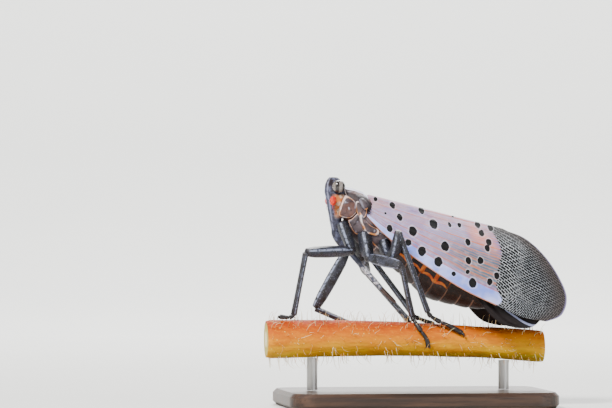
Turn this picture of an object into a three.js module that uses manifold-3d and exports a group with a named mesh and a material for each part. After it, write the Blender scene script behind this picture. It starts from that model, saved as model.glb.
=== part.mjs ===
// Spotted lanternfly, adult, life size, standing on a short length of plant stem on a plain display stand.
// Millimetres, +Z up. The head points along -X and the insect's left side along -Y.
// The origin is the centre of the base's underside.
import * as THREE from "three";
import { mergeVertices } from "three/addons/utils/BufferGeometryUtils.js";
import Module from "manifold-3d";

// Driving dimensions

const REACH = 13.9; // the stem's front end and the wing tips are both this far from the origin
const GAP = 0.06; // clearance between neighbouring plates of the shell
const MEMBRANE = 0.5; // thickness of a wing

const STEM = { length: 26, front: 1.78, back: 1.47, height: 6.25, drop: 0.75, arch: 0.35 };
const BASE = { length: 25, width: 16, thick: 1.5, bevel: 0.35 };
const ROD = { radius: 0.5, front: -9.6, back: 8.4 };

// The trunk runs from the neck down and back to the tail along one straight axis.
const TRUNK_TILT = THREE.MathUtils.degToRad(32);
const TRUNK_ORIGIN = [-4.65, 17.05];
// Distance along the axis, half width, height above the axis, depth below it
const TRUNK = [
  [-3.1, 1.25, 1.75, 0.55],
  [-2.3, 1.8, 1.95, 0.85],
  [-1.05, 2.1, 1.95, 0.9],
  [-1.0, 2.0, 1.85, 1.75],
  [0.5, 2.3, 1.9, 2.15],
  [2.0, 2.3, 1.9, 2.1],
  [3.6, 2.3, 1.9, 2.0],
  [5.2, 2.55, 1.9, 2.3],
  [7.0, 2.75, 1.9, 2.62],
  [8.4, 2.75, 1.9, 2.85],
  [9.6, 2.5, 1.8, 2.6],
  [11.0, 2.1, 1.6, 2.1],
  [12.2, 1.65, 1.3, 1.7],
  [13.3, 1.05, 0.9, 1.15],
  [14.4, 0.4, 0.4, 0.4],
];

// The closed wings make a roof: its ridge line falls towards the tail, and its sides spread with the drop below it.
const RIDGE = { height: 18.35, slope: -0.252 };
const ROOF = { spread: 5.2, edge: 0.22, drop: 4.0, widest: 4, fullness: 1.12, taper: 0.004 };

const SHELL_GREY = { color: 0x6f6a72, roughness: 0.6, metalness: 0 };
const SHELL_DARK = { color: 0x2c2624, roughness: 0.6, metalness: 0 };
const WING_GREY = { color: 0xb9b0c0, roughness: 0.5, metalness: 0 };
const WING_DARK = { color: 0x15110f, roughness: 0.5, metalness: 0 };
const EYE_BROWN = { color: 0x4a4038, roughness: 0.25, metalness: 0 };
const BULB_ORANGE = { color: 0xe8481c, roughness: 0.5, metalness: 0 };
const STEM_ORANGE = { color: 0xe39a3a, roughness: 0.55, metalness: 0 };
const STAND_DARK = { color: 0x2f2a28, roughness: 0.5, metalness: 0 };
const ROD_STEEL = { color: 0xa8a8a8, roughness: 0.35, metalness: 1 };

const wasm = await Module();
wasm.setup();

// Helpers

const lerp = THREE.MathUtils.lerp;
const clamp = THREE.MathUtils.clamp;
const vec = (x, y, z) => new THREE.Vector3(x, y, z);

// Values of a table's columns at a place given in its first column
function between(table, at) {
  let row = 0;
  while (row < table.length - 2 && table[row + 1][0] < at) row++;
  const [low, high] = [table[row], table[row + 1]];
  const share = clamp((at - low[0]) / (high[0] - low[0]), 0, 1);
  return low.slice(1).map((value, i) => lerp(value, high[i + 1], share));
}

// Moves each vertex of a closed three.js geometry by a rule
function reshape(geometry, rule) {
  const position = geometry.getAttribute("position");
  for (let i = 0; i < position.count; i++) {
    const moved = rule(position.getX(i), position.getY(i), position.getZ(i));
    position.setXYZ(i, moved.x, moved.y, moved.z);
  }
  geometry.deleteAttribute("normal");
  geometry.deleteAttribute("uv");
  return mergeVertices(geometry, 1e-4);
}

// The other side's copy of a shape
function mirrored(geometry) {
  const copy = geometry.clone();
  copy.scale(1, -1, 1);
  const index = copy.getIndex();
  for (let i = 0; i < index.count; i += 3) {
    const first = index.getX(i);
    index.setX(i, index.getX(i + 1));
    index.setX(i + 1, first);
  }
  return copy;
}

// A rounded tube along a smooth line, with its radius given at even steps
function limb(points, radii, { sides = 8, steps = 4, up = vec(0, 0, 1) } = {}) {
  const curve =
    points.length === 2
      ? new THREE.LineCurve3(...points)
      : new THREE.CatmullRomCurve3(points, false, "centripetal");
  const table = radii.map((radius, i) => [i / (radii.length - 1), radius]);
  const capsule = new THREE.CapsuleGeometry(1, 1, 2, sides, steps);
  return reshape(capsule, (x, y, z) => {
    const along = clamp(y, -0.5, 0.5);
    const at = 0.5 - along;
    const [radius] = between(table, at);
    const tangent = curve.getTangentAt(at);
    const side = vec().crossVectors(tangent, up).normalize();
    const over = vec().crossVectors(side, tangent);
    return curve
      .getPointAt(at)
      .addScaledVector(over, x * radius)
      .addScaledVector(side, z * radius)
      .addScaledVector(tangent, (along - y) * radius);
  });
}

// An egg with its own half sizes along each axis
function egg([cx, cy, cz], [rx, ry, rz], { sides = 12, rings = 8, pitch = 0 } = {}) {
  const shape = new THREE.SphereGeometry(1, sides, rings);
  shape.scale(rx, ry, rz);
  shape.rotateY(pitch);
  shape.translate(cx, cy, cz);
  return reshape(shape, vec);
}

const solid = (geometry) => {
  const merged = mergeVertices(reshape(geometry.clone(), vec), 1e-4);
  const triVerts = new Uint32Array(merged.getIndex().array);
  const vertProperties = new Float32Array(merged.getAttribute("position").array);
  return new wasm.Manifold(new wasm.Mesh({ numProp: 3, vertProperties, triVerts }));
};

// Cuts room for the neighbours out of a shape
function carve(geometry, neighbours) {
  let left = solid(geometry);
  for (const neighbour of neighbours) left = left.subtract(solid(neighbour));
  const [largest] = left.decompose().sort((a, b) => b.volume() - a.volume());
  const cut = largest.getMesh();
  const result = new THREE.BufferGeometry();
  result.setAttribute("position", new THREE.BufferAttribute(cut.vertProperties, 3));
  result.setIndex(new THREE.BufferAttribute(cut.triVerts, 1));
  return mergeVertices(result, 1.5e-3);
}

// Trunk

const axisX = Math.cos(TRUNK_TILT);
const axisZ = -Math.sin(TRUNK_TILT);

function trunkPlace(along, y, above) {
  return vec(
    TRUNK_ORIGIN[0] + along * axisX - above * axisZ,
    y,
    TRUNK_ORIGIN[1] + along * axisZ + above * axisX,
  );
}

// One ring of the trunk between two distances along its axis; swell bows its middle out a little
function trunkRing(from, to, { sides = 18, steps = 2, swell = 0 } = {}) {
  const drum = new THREE.CylinderGeometry(1, 1, 1, sides, steps);
  return reshape(drum, (x, y, z) => {
    const share = 0.5 - y;
    const along = lerp(from, to, share);
    const [width, rise, depth] = between(TRUNK, along);
    const bow = 1 + swell * Math.sin(Math.PI * share);
    return trunkPlace(along, -z * width * bow, x * (x > 0 ? rise : depth) * bow);
  });
}

// Wings

const ridgeHeight = (x) => RIDGE.height + RIDGE.slope * x;

// Half width of the roof at a place on it
function roofWidth(x, z) {
  const drop = Math.max(ridgeHeight(x) - z, 0);
  const fullness = ROOF.fullness - ROOF.taper * (x - ROOF.widest) ** 2;
  return (ROOF.edge + ROOF.spread * (1 - Math.exp(-drop / ROOF.drop))) * fullness;
}

// A point at a distance outside the left side of the roof
function roofPoint(x, z, outside) {
  const step = 0.05;
  const across = (roofWidth(x + step, z) - roofWidth(x - step, z)) / (2 * step);
  const down = (roofWidth(x, z + step) - roofWidth(x, z - step)) / (2 * step);
  const normal = vec(-across, -1, -down).normalize();
  return vec(x, -roofWidth(x, z), z).addScaledVector(normal, outside);
}

const flatCurve = (points) => new THREE.SplineCurve(points.map(([x, z]) => new THREE.Vector2(x, z)));

// Fills the space between four edges seen from the side, each running from the root or from the lower margin
function patch({ lower, upper, root, tip }) {
  const edges = [lower, upper, root, tip].map(flatCurve);
  return (s, t) => {
    const [low, high, start, end] = edges;
    const corner = (edge, at) => edge.getPoint(at);
    const point = new THREE.Vector2()
      .addScaledVector(low.getPoint(s), 1 - t)
      .addScaledVector(high.getPoint(s), t)
      .addScaledVector(start.getPoint(t), 1 - s)
      .addScaledVector(end.getPoint(t), s)
      .addScaledVector(corner(low, 0), -(1 - s) * (1 - t))
      .addScaledVector(corner(low, 1), -s * (1 - t))
      .addScaledVector(corner(high, 0), -(1 - s) * t)
      .addScaledVector(corner(high, 1), -s * t);
    return [point.x, point.y];
  };
}

// A sheet that follows the roof between two distances outside it; its top edge may run on to the other side's
function wingSheet(outline, inner, outer, { lengthwise = 14, across = 8, meet = false } = {}) {
  const place = patch(outline);
  const slab = new THREE.BoxGeometry(1, 1, 1, lengthwise, across, 1);
  const steepness = ROOF.drop / ROOF.spread / ROOF.fullness;
  return reshape(slab, (x, y, z) => {
    const [along, height] = place(x + 0.5, y + 0.5);
    const point = roofPoint(along, height, lerp(inner, outer, z + 0.5));
    if (meet && y === 0.5) {
      point.z += (-point.y - GAP) * steepness;
      point.y = -GAP;
    }
    return point;
  });
}

const FOREWING = {
  lower: [[-4.8, 17.6], [-2.95, 15.6], [-0.1, 13.35], [3.55, 10.95], [7.0, 9.3], [9.2, 8.35], [11.65, 7.9]],
  upper: [-3.5, 0.5, 4.5, 7.5, 9.2].map((x) => [x, ridgeHeight(x)]),
  root: [[-4.8, 17.6], [-4.45, 18.5], [-3.5, ridgeHeight(-3.5)]],
  tip: [[11.65, 7.9], [13.2, 8.5], [13.81, 10.1], [13.1, 12.1], [11.5, 14.3], [9.2, ridgeHeight(9.2)]],
};
const HINDWING = {
  lower: [[-2.4, 16.2], [0.4, 13.5], [2.4, 11.2], [3.85, 9.35], [5.85, 7.95], [8.3, 7.35]],
  upper: [[-2.2, 17.6], [1.5, 16.8], [5.0, 15.8], [8.6, 14.6]],
  root: [[-2.4, 16.2], [-2.4, 16.9], [-2.2, 17.6]],
  tip: [[8.3, 7.35], [10.4, 7.5], [11.6, 8.6], [11.6, 10.8], [10.6, 12.9], [8.6, 14.6]],
};
const half = MEMBRANE / 2;
const FORE_BAND = [-half, half];
const HIND_BAND = [-half - 0.15 - MEMBRANE, -half - 0.15];

// Room under the roof is cut from the trunk a little deeper than the hindwings reach.
const roofCutter = wingSheet(
  {
    lower: [[-4.9, 17.35], [-2.9, 15.1], [1.0, 11.6], [4.0, 8.2], [8.5, 6.2]],
    upper: [[-3.7, 19.6], [0.5, 18.55], [4.5, 17.45], [9.4, 16.2]],
    root: [[-4.9, 17.35], [-4.6, 18.6], [-3.7, 19.6]],
    tip: [[8.5, 6.2], [11.6, 8.0], [11.8, 12.5], [9.4, 16.2]],
  },
  HIND_BAND[0] - GAP,
  3,
  { lengthwise: 10, across: 8 },
);

// Legs

// Where each coxa leaves the trunk and where it ends, on the left side
const COXAE = {
  fore: { root: vec(-7.1, -1.35, 17.2), tip: vec(-6.1, -1.4, 14.45), radii: [0.42, 0.56, 0.5, 0.34] },
  mid: { root: vec(-5.1, -1.85, 16.3), tip: vec(-4.65, -2.1, 13.8), radii: [0.5, 0.62, 0.6, 0.4] },
  hind: { root: vec(-3.2, -1.75, 15.55), tip: vec(-2.8, -1.85, 13.9), radii: [0.6, 0.68, 0.6, 0.4] },
};

// Knee, ankle and the foot's line for each leg; a thigh may bow through a point of its own
const LEGS = {
  fore_left: {
    knee: vec(-10.74, -4.0, 14.35),
    ankle: vec(-11.4, -0.6, 8.5),
    foot: [vec(-12.7, -0.35, 8.36)],
  },
  fore_right: {
    knee: vec(-8.99, 2.4, 9.05),
    ankle: vec(-4.35, 2.25, 7.0),
    foot: [vec(-2.75, 2.05, 6.3)],
  },
  mid_left: {
    knee: vec(-2.1, -5.4, 13.15),
    ankle: vec(-0.45, -1.35, 8.4),
    foot: [vec(0.3, -1.85, 7.05), vec(0.85, -1.95, 6.2), vec(0.95, -1.85, 5.6)],
  },
  mid_right: {
    knee: vec(-3.6, 5.4, 12.25),
    ankle: vec(-0.35, 1.5, 7.95),
    foot: [vec(0.6, 1.9, 6.9), vec(1.4, 1.95, 6.3)],
  },
  hind_left: {
    thigh: vec(-2.55, -4.2, 14.35),
    knee: vec(-2.45, -5.85, 16.25),
    ankle: vec(1.05, -1.25, 8.75),
    foot: [vec(2.2, -1.3, 7.85), vec(3.2, -1.5, 7.4), vec(4.3, -1.6, 6.75)],
  },
  hind_right: {
    knee: vec(-4.0, 5.6, 14.75),
    ankle: vec(-0.15, 0.95, 8.75),
    foot: [vec(1.0, 1.15, 7.95), vec(2.1, 1.35, 7.55)],
  },
};

const LEG_SIZES = {
  fore: { femur: [0.34, 0.5, 0.53, 0.5, 0.36], tibia: [0.28, 0.29, 0.29, 0.3] },
  mid: { femur: [0.32, 0.46, 0.49, 0.46, 0.34], tibia: [0.28, 0.29, 0.29, 0.3] },
  hind: { femur: [0.34, 0.46, 0.48, 0.46, 0.36], tibia: [0.3, 0.32, 0.31, 0.32] },
};
const TARSUS_RADII = [0.27, 0.27, 0.26, 0.26, 0.25];

// A limb that stops short of both ends by its end radii, less a hair, so that neighbours just clear
function segment(points, radii, { startRoom = 0, endRoom = 0, ...options } = {}) {
  const line = points.map((point) => point.clone());
  const last = line.length - 1;
  const first = vec().subVectors(line[1], line[0]).normalize();
  const final = vec().subVectors(line[last - 1], line[last]).normalize();
  line[0].addScaledVector(first, startRoom);
  line[last].addScaledVector(final, endRoom);
  return limb(line, radii, options);
}

// Where a shin starts: clear of the thigh's rounded end, on the outside of the bend
function besideKnee(from, knee, ankle, room) {
  const outward = vec().subVectors(knee, from).normalize();
  const onward = vec().subVectors(ankle, knee).normalize();
  const turn = outward.dot(onward);
  const aside = outward.clone().addScaledVector(onward, -turn).normalize();
  aside.addScaledVector(onward, Math.max(0, turn + 0.5)).normalize();
  return knee.clone().addScaledVector(aside, room);
}

const coxaShape = ({ root, tip, radii }, extra = 0) =>
  limb([root, tip], radii.map((radius) => radius + extra), { sides: 10, steps: 6, up: vec(0, 1, 0) });

function legShapes(name) {
  const [pair, side] = name.split("_");
  const { thigh, knee, ankle, foot } = LEGS[name];
  const { femur, tibia } = LEG_SIZES[pair];
  const hip = COXAE[pair].tip.clone();
  if (side === "right") hip.y *= -1;
  const hipRoom = COXAE[pair].radii.at(-1) + femur[0] + GAP;
  const shin = besideKnee(thigh ?? hip, knee, ankle, femur.at(-1) + tibia[0] + GAP);
  const ankleRoom = tibia.at(-1) + TARSUS_RADII[0] + GAP;
  const toes = [ankle, ...foot];
  return {
    femur: segment(thigh ? [hip, thigh, knee] : [hip, knee], femur, { startRoom: hipRoom }),
    tibia: limb([shin, ankle], tibia, { steps: 3 }),
    tarsus: segment(toes, TARSUS_RADII, {
      startRoom: ankleRoom,
      steps: 2 * foot.length,
      sides: 7,
      up: vec(0, 1, 0),
    }),
  };
}

// Head

const FACE = [
  [-8.25, 20.75, 0.42],
  [-8.36, 19.9, 0.62],
  [-8.2, 19.1, 0.78],
  [-8.05, 18.2, 0.86],
  [-7.86, 17.2, 0.8],
  [-7.65, 16.3, 0.66],
];

// Depth and half width at the neck go from the first value, low down, to the second, level with the
// eyes. The crown's values are shares of them at the very top.
const HEAD = {
  bottom: 16.32,
  top: 21.25,
  taper: 2.6,
  depth: [0.55, 1.7],
  backWidth: [0.75, 1.32],
  crown: 0.9,
  crownDepth: 0.75,
  crownWidth: 0.8,
  crownBackWidth: 0.7,
  keel: 0.22,
  rounding: 0.16,
};

// The long face is a plate with a keeled middle; its back meets the cheeks.
function headShape() {
  const block = new THREE.BoxGeometry(1, 1, 1, 3, 6, 8);
  const outline = FACE.map(([x, z, width]) => [z, x, width]).reverse();
  return reshape(block, (x, y, z) => {
    const height = lerp(HEAD.bottom, HEAD.top, z + 0.5);
    const [front, faceWidth] = between(outline, height);
    const low = clamp((height - HEAD.bottom) / HEAD.taper, 0, 1);
    const high = clamp((HEAD.top - height) / HEAD.crown, 0, 1) ** 0.5;
    const depth = lerp(...HEAD.depth, low) * lerp(HEAD.crownDepth, 1, high);
    const backWidth = lerp(...HEAD.backWidth, low) * lerp(HEAD.crownBackWidth, 1, high);
    const back = x + 0.5;
    const width = lerp(faceWidth, backWidth, Math.sin((back * Math.PI) / 2)) * lerp(HEAD.crownWidth, 1, high);
    const across = y * 2;
    const keel = HEAD.keel * (1 - back) * across * across;
    const rounding = HEAD.rounding * back * across * across;
    return vec(front + depth * back + keel - rounding, across * width, height);
  });
}

// Parts of the model

const pieces = new Map();
const add = (group, name, geometry, look) => {
  const mesh = new THREE.Mesh(geometry, new THREE.MeshStandardMaterial(look));
  mesh.name = name;
  group.add(mesh);
  pieces.set(name, mesh);
};

const part = new THREE.Group();
const body = new THREE.Group();
const legs = new THREE.Group();
const stand = new THREE.Group();
part.add(body, legs, stand);

const addPair = (name, left, look) => {
  add(body, `${name}_left`, left, look);
  add(body, `${name}_right`, mirrored(left), look);
};

const EYE = { place: [-7.3, -1.3, 20.38], size: [0.6, 0.42, 0.58] };
const BULB = { place: [-7.86, -1.5, 19.05], size: [0.31, 0.34, 0.43] };
const CLYPEUS = {
  line: [vec(-7.3, 0, 15.95), vec(-7.05, 0, 15.4), vec(-6.5, 0, 14.75)],
  radii: [0.3, 0.5, 0.42, 0.3],
};
const BEAK = {
  start: vec(-6.0, 0, 14.2),
  joint: vec(-3.06, 0, 10.86),
  tip: vec(-1.75, 0, 9.62),
  baseRadii: [0.3, 0.3, 0.28, 0.28],
  tipRadii: [0.27, 0.26, 0.24, 0.2],
  baseEndRoom: 0.3,
  tipStartRoom: 0.33,
};
const TEGULA = {
  line: [vec(-5.3, -1.75, 19.15), vec(-5.0, -2.25, 18.45)],
  radii: [0.28, 0.42, 0.3],
};
const grown = ({ place, size }) => egg(place, size.map((radius) => radius + GAP));

function addHead() {
  const room = [EYE, BULB].flatMap((shape) => [grown(shape), mirrored(grown(shape))]);
  add(body, "head", carve(headShape(), room), SHELL_GREY);
  addPair("eye", egg(EYE.place, EYE.size), EYE_BROWN);
  addPair("antenna", egg(BULB.place, BULB.size, { sides: 10, rings: 8, pitch: 0.15 }), BULB_ORANGE);
  add(body, "clypeus", limb(CLYPEUS.line, CLYPEUS.radii, { sides: 10, up: vec(0, 1, 0) }), SHELL_GREY);
  const { start, joint, tip, baseRadii, tipRadii, baseEndRoom, tipStartRoom } = BEAK;
  add(body, "beak_base", segment([start, joint], baseRadii, { endRoom: baseEndRoom }), SHELL_GREY);
  add(body, "beak_tip", segment([joint, tip], tipRadii, { startRoom: tipStartRoom }), SHELL_DARK);
}

function addTrunk() {
  const coxaCutters = Object.values(COXAE).flatMap((coxa) => {
    const grownCoxa = coxaShape(coxa, GAP);
    return [grownCoxa, mirrored(grownCoxa)];
  });
  const roofCutters = [roofCutter, mirrored(roofCutter)];
  const cutters = [...coxaCutters, ...roofCutters];
  const headRoom = [headShape(), grown(EYE), mirrored(grown(EYE))];
  const pronotum = trunkRing(-3.1, -1.05, { steps: 4 });
  add(body, "pronotum", carve(pronotum, [...cutters, ...headRoom]), SHELL_GREY);
  const mesothorax = trunkRing(-1.05 + GAP, 1.9, { steps: 4 });
  add(body, "mesothorax", carve(mesothorax, cutters), SHELL_GREY);
  add(body, "metathorax", carve(trunkRing(1.9 + GAP, 3.6, { steps: 3 }), cutters), SHELL_GREY);
  const joints = [3.6, 5.2, 6.7, 8.2, 9.7, 11.1, 12.4];
  for (let i = 1; i < joints.length; i++) {
    const ring = trunkRing(joints[i - 1] + GAP, joints[i], { swell: 0.025 });
    add(body, `abdomen_${i}`, carve(ring, cutters), SHELL_DARK);
  }
  add(body, "abdomen_tip", carve(trunkRing(12.4 + GAP, 14.4, { steps: 4 }), cutters), SHELL_DARK);
}

function addWings() {
  addPair("forewing", wingSheet(FOREWING, ...FORE_BAND, { meet: true }), WING_GREY);
  addPair("hindwing", wingSheet(HINDWING, ...HIND_BAND, { lengthwise: 10, across: 6 }), WING_DARK);
  const cap = limb(TEGULA.line, TEGULA.radii, { sides: 10, steps: 4, up: vec(1, 0, 0) });
  const thorax = ["pronotum", "mesothorax"].map((name) => pieces.get(name).geometry);
  addPair("tegula", carve(cap, thorax), SHELL_GREY);
}

function addLegs() {
  for (const [pair, coxa] of Object.entries(COXAE)) addPair(`coxa_${pair}`, coxaShape(coxa), SHELL_GREY);
  for (const name of Object.keys(LEGS)) {
    const shapes = legShapes(name);
    for (const [kind, shape] of Object.entries(shapes)) {
      add(legs, `${kind}_${name}`, shape, kind === "tarsus" ? SHELL_DARK : SHELL_GREY);
    }
  }
}

// The stem arches a little and thins towards the tail
function stemCentre(x) {
  const share = (x + REACH) / STEM.length;
  const arch = STEM.arch * 4 * share * (1 - share);
  return STEM.height - STEM.drop * share + arch;
}

function stemRadius(x) {
  return lerp(STEM.front, STEM.back, Math.min(1, ((x + REACH) / STEM.length) * 1.35));
}

function addStand() {
  const stem = new THREE.CylinderGeometry(1, 1, 1, 20, 10);
  const rounded = reshape(stem, (x, y, z) => {
    const along = -REACH + (0.5 - y) * STEM.length;
    return vec(along, -z * stemRadius(along), stemCentre(along) + x * stemRadius(along));
  });
  add(stand, "perch_stem", rounded, STEM_ORANGE);

  const plan = new THREE.Shape();
  const corner = 2;
  const [across, along] = [BASE.width / 2 - BASE.bevel, BASE.length / 2 - BASE.bevel];
  plan.moveTo(-along + corner, -across);
  plan.lineTo(along - corner, -across);
  plan.absarc(along - corner, -across + corner, corner, -Math.PI / 2, 0);
  plan.absarc(along - corner, across - corner, corner, 0, Math.PI / 2);
  plan.absarc(-along + corner, across - corner, corner, Math.PI / 2, Math.PI);
  plan.absarc(-along + corner, -across + corner, corner, Math.PI, Math.PI * 1.5);
  const base = new THREE.ExtrudeGeometry(plan, {
    depth: BASE.thick - 2 * BASE.bevel,
    bevelThickness: BASE.bevel,
    bevelSize: BASE.bevel,
    bevelSegments: 1,
    curveSegments: 5,
  });
  base.translate(0, 0, BASE.bevel);
  add(stand, "stand_base", reshape(base, vec), STAND_DARK);

  for (const [name, x] of [["front", ROD.front], ["back", ROD.back]]) {
    const top = stemCentre(x) - stemRadius(x) - GAP;
    const bottom = BASE.thick + GAP;
    const rod = new THREE.CylinderGeometry(ROD.radius, ROD.radius, top - bottom, 16, 1);
    rod.rotateX(Math.PI / 2);
    rod.translate(x, 0, (top + bottom) / 2);
    add(stand, `stand_rod_${name}`, reshape(rod, vec), ROD_STEEL);
  }
}

addHead();
addTrunk();
addWings();
addLegs();
addStand();

export default part;
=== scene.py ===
# %% [markdown]
# The CAD model comes first. It is a frozen frame: every new piece is laid over it in the same place,
# in metres, with the head towards -X and the insect's left side towards -Y.

# %% Load the frame
import math
import random

import bpy
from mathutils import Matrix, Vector, noise


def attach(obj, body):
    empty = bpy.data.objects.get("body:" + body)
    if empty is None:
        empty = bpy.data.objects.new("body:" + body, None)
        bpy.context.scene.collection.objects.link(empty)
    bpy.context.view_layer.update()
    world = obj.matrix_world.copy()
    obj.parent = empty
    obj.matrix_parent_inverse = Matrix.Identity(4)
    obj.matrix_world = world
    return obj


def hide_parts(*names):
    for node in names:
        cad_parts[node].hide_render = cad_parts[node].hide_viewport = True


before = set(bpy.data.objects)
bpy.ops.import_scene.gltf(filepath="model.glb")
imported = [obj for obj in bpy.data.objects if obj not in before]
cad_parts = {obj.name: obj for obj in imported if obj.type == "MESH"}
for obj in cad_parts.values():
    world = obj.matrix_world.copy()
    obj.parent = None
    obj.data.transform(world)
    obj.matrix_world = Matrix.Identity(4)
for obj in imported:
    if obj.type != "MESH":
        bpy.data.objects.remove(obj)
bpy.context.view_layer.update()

MM = 0.001
print("CAD nodes:", len(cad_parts))

# %% [markdown]
# The camera is placed before anything is modelled. The insect is looked at from its left side, level,
# and slightly from the front. A long lens from 400 mm keeps the near parts from looking too large.

# %% Camera
VIEW_RIGHT = Vector((0.990, -0.139, 0))
VIEW_BACK = Vector((-0.139, -0.990, 0))
AIM = Vector((-9.97, 1.40, 18.76))
FRAME_WIDTH = 56.82
CAMERA_AWAY = 400
SENSOR = 36
CLIP_START = 0.01

camera_data = bpy.data.cameras.new("camera")
camera_data.sensor_width = SENSOR
camera_data.lens = CAMERA_AWAY * SENSOR / FRAME_WIDTH
camera_data.clip_start = CLIP_START
camera = bpy.data.objects.new("camera", camera_data)
bpy.context.scene.collection.objects.link(camera)
camera.location = (AIM + VIEW_BACK * CAMERA_AWAY) * MM
camera.rotation_euler = (math.pi / 2, 0, math.atan2(VIEW_RIGHT.y, VIEW_RIGHT.x))
bpy.context.scene.camera = camera
print("lens", round(camera_data.lens), "mm")

# %% [markdown]
# Small sums are used by every piece: a blend of two numbers, a table that is read between its rows,
# and a smooth step from nothing to one. They are ordinary Python, so they are written once.

# %% Sums


def lerp(start, end, share):
    return start + (end - start) * share


def clamp(value, low=0.0, high=1.0):
    return max(low, min(high, value))


def step(low, high, value):
    share = clamp((value - low) / (high - low))
    return share * share * (3 - 2 * share)


def between(rows, at):
    """The other columns of a table, at a value of its first column."""
    for lower, upper in zip(rows, rows[1:]):
        if at <= upper[0]:
            share = clamp((at - lower[0]) / (upper[0] - lower[0]))
            return [lerp(a, b, share) for a, b in zip(lower[1:], upper[1:])]
    return list(rows[-1][1:])


def spread(values, share):
    """A value from an evenly spaced list."""
    at = clamp(share) * (len(values) - 1)
    index = min(int(at), len(values) - 2)
    return lerp(values[index], values[index + 1], at - index)


def spline(points, share):
    """A smooth curve through the points, with the same share of it between each two."""
    at = clamp(share) * (len(points) - 1)
    index = min(int(at), len(points) - 2)
    w = at - index
    p0, p1, p2, p3 = (
        Vector(points[clamp(index + k, 0, len(points) - 1)]) for k in (-1, 0, 1, 2)
    )
    v0 = (p2 - p0) / 2
    v1 = (p3 - p1) / 2
    return (2 * p1 - 2 * p2 + v0 + v1) * w**3 + (3 * p2 - 3 * p1 - 2 * v0 - v1) * w**2 + v0 * w + p1


# %% [markdown]
# An insect's shell has no flat faces, so a box is a poor start for it. Each shell piece starts as a
# flat grid with enough faces, and a rule then says where each corner goes, as a sheet of wax is bent
# round a form. The rule can also give numbers, such as how far along a leg a corner lies, which are
# kept with the corner so that the paint can follow the shape. Sides that meet are merged, and the
# faces are turned outwards.

# %% Bent sheets and tubes
MERGE_WITHIN = 0.0012
TUBE_SLIP = 0.02


def deselect():
    if bpy.context.object and bpy.context.object.mode != "OBJECT":
        bpy.ops.object.mode_set(mode="OBJECT")
    bpy.ops.object.select_all(action="DESELECT")


def sheet(name, columns, rows, rule, closed=True):
    """A grid whose corners go where rule(across, along) says, with the marks that it gives."""
    deselect()
    bpy.ops.mesh.primitive_grid_add(x_subdivisions=columns, y_subdivisions=rows, size=1)
    piece = bpy.context.object
    piece.name = name
    piece.data.uv_layers[0].name = "OFBake"
    marks = {}
    for corner in piece.data.vertices:
        place, found = rule(corner.co.x + 0.5, corner.co.y + 0.5)
        corner.co = Vector(place) * MM
        for mark, value in found.items():
            marks.setdefault(mark, []).append(value)
    for mark, values in marks.items():
        layer = piece.data.attributes.new(mark, "FLOAT", "POINT")
        layer.data.foreach_set("value", values)
    if closed:
        bpy.ops.object.mode_set(mode="EDIT")
        bpy.ops.mesh.select_all(action="SELECT")
        bpy.ops.mesh.remove_doubles(threshold=MERGE_WITHIN * MM)
        bpy.ops.mesh.normals_make_consistent(inside=False)
        bpy.ops.object.mode_set(mode="OBJECT")
    return piece


def ends(share, end_share):
    """For a sheet whose two ends are drawn in to close it: its length, and how closed it is there."""
    length = clamp((share - end_share) / (1 - 2 * end_share))
    closing = clamp(min(share, 1 - share) / end_share)
    return length, closing


def join(name, parts):
    """Several meshes made one, under one name."""
    deselect()
    for part in parts:
        part.select_set(True)
    bpy.context.view_layer.objects.active = parts[0]
    if len(parts) > 1:
        bpy.ops.object.join()
    parts[0].name = name
    return parts[0]


def hand_over(piece, look, slot, *nodes, sharp=40):
    """The last step of every piece: its finish, smooth shading, its place on the model."""
    deselect()
    piece.select_set(True)
    bpy.context.view_layer.objects.active = piece
    bpy.ops.object.shade_smooth_by_angle(angle=math.radians(sharp))
    piece.data.materials.clear()
    piece.data.materials.append(look)
    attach(piece, "root")
    if nodes:
        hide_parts(*nodes)
    size = [round(side / MM, 1) for side in piece.dimensions]
    print(piece.name, size, "mm,", len(piece.data.polygons), "faces")
    return piece


def tube(name, points, radii, sides=14, steps=24, up=(0, 0, 1), blunt=0.06, form=None, marks=None):
    """A closed limb along the points, whose ends are rounded over the share blunt of its length.

    form(turn, share) scales its section, where turn goes from 0 to 1 round it.
    """
    upright = Vector(up)

    def rule(turn, share):
        centre = spline(points, share)
        behind = spline(points, max(share - TUBE_SLIP, 0))
        ahead = spline(points, min(share + TUBE_SLIP, 1))
        forward = (ahead - behind).normalized()
        side = upright.cross(forward).normalized()
        rise = forward.cross(side)
        end = min(share, 1 - share) / blunt
        radius = spread(radii, share) * math.sqrt(max(0.0, 1 - (1 - min(end, 1)) ** 2))
        if form:
            radius *= form(turn, share)
        angle = 2 * math.pi * turn
        place = centre + side * math.cos(angle) * radius + rise * math.sin(angle) * radius
        found = {"reach": share}
        if marks:
            found.update(marks(turn, share))
        return place, found

    return sheet(name, sides, steps, rule)


# %% [markdown]
# A finish is a small net of nodes. Written out node by node it is hard to read, so one class wraps a
# socket and lets ordinary sums add the Math nodes, and one method makes any other node. Every finish
# reads the place on the object in millimetres, or the marks that the sheets carry.

# %% Paint box


def tint(code):
    """A colour from six hex digits, as the eye sees it, turned to light values."""
    parts = [int(code[k:k + 2], 16) / 255 for k in (0, 2, 4)]
    light = [p / 12.92 if p <= 0.04045 else ((p + 0.055) / 1.055) ** 2.4 for p in parts]
    return (*light, 1.0)


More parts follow.
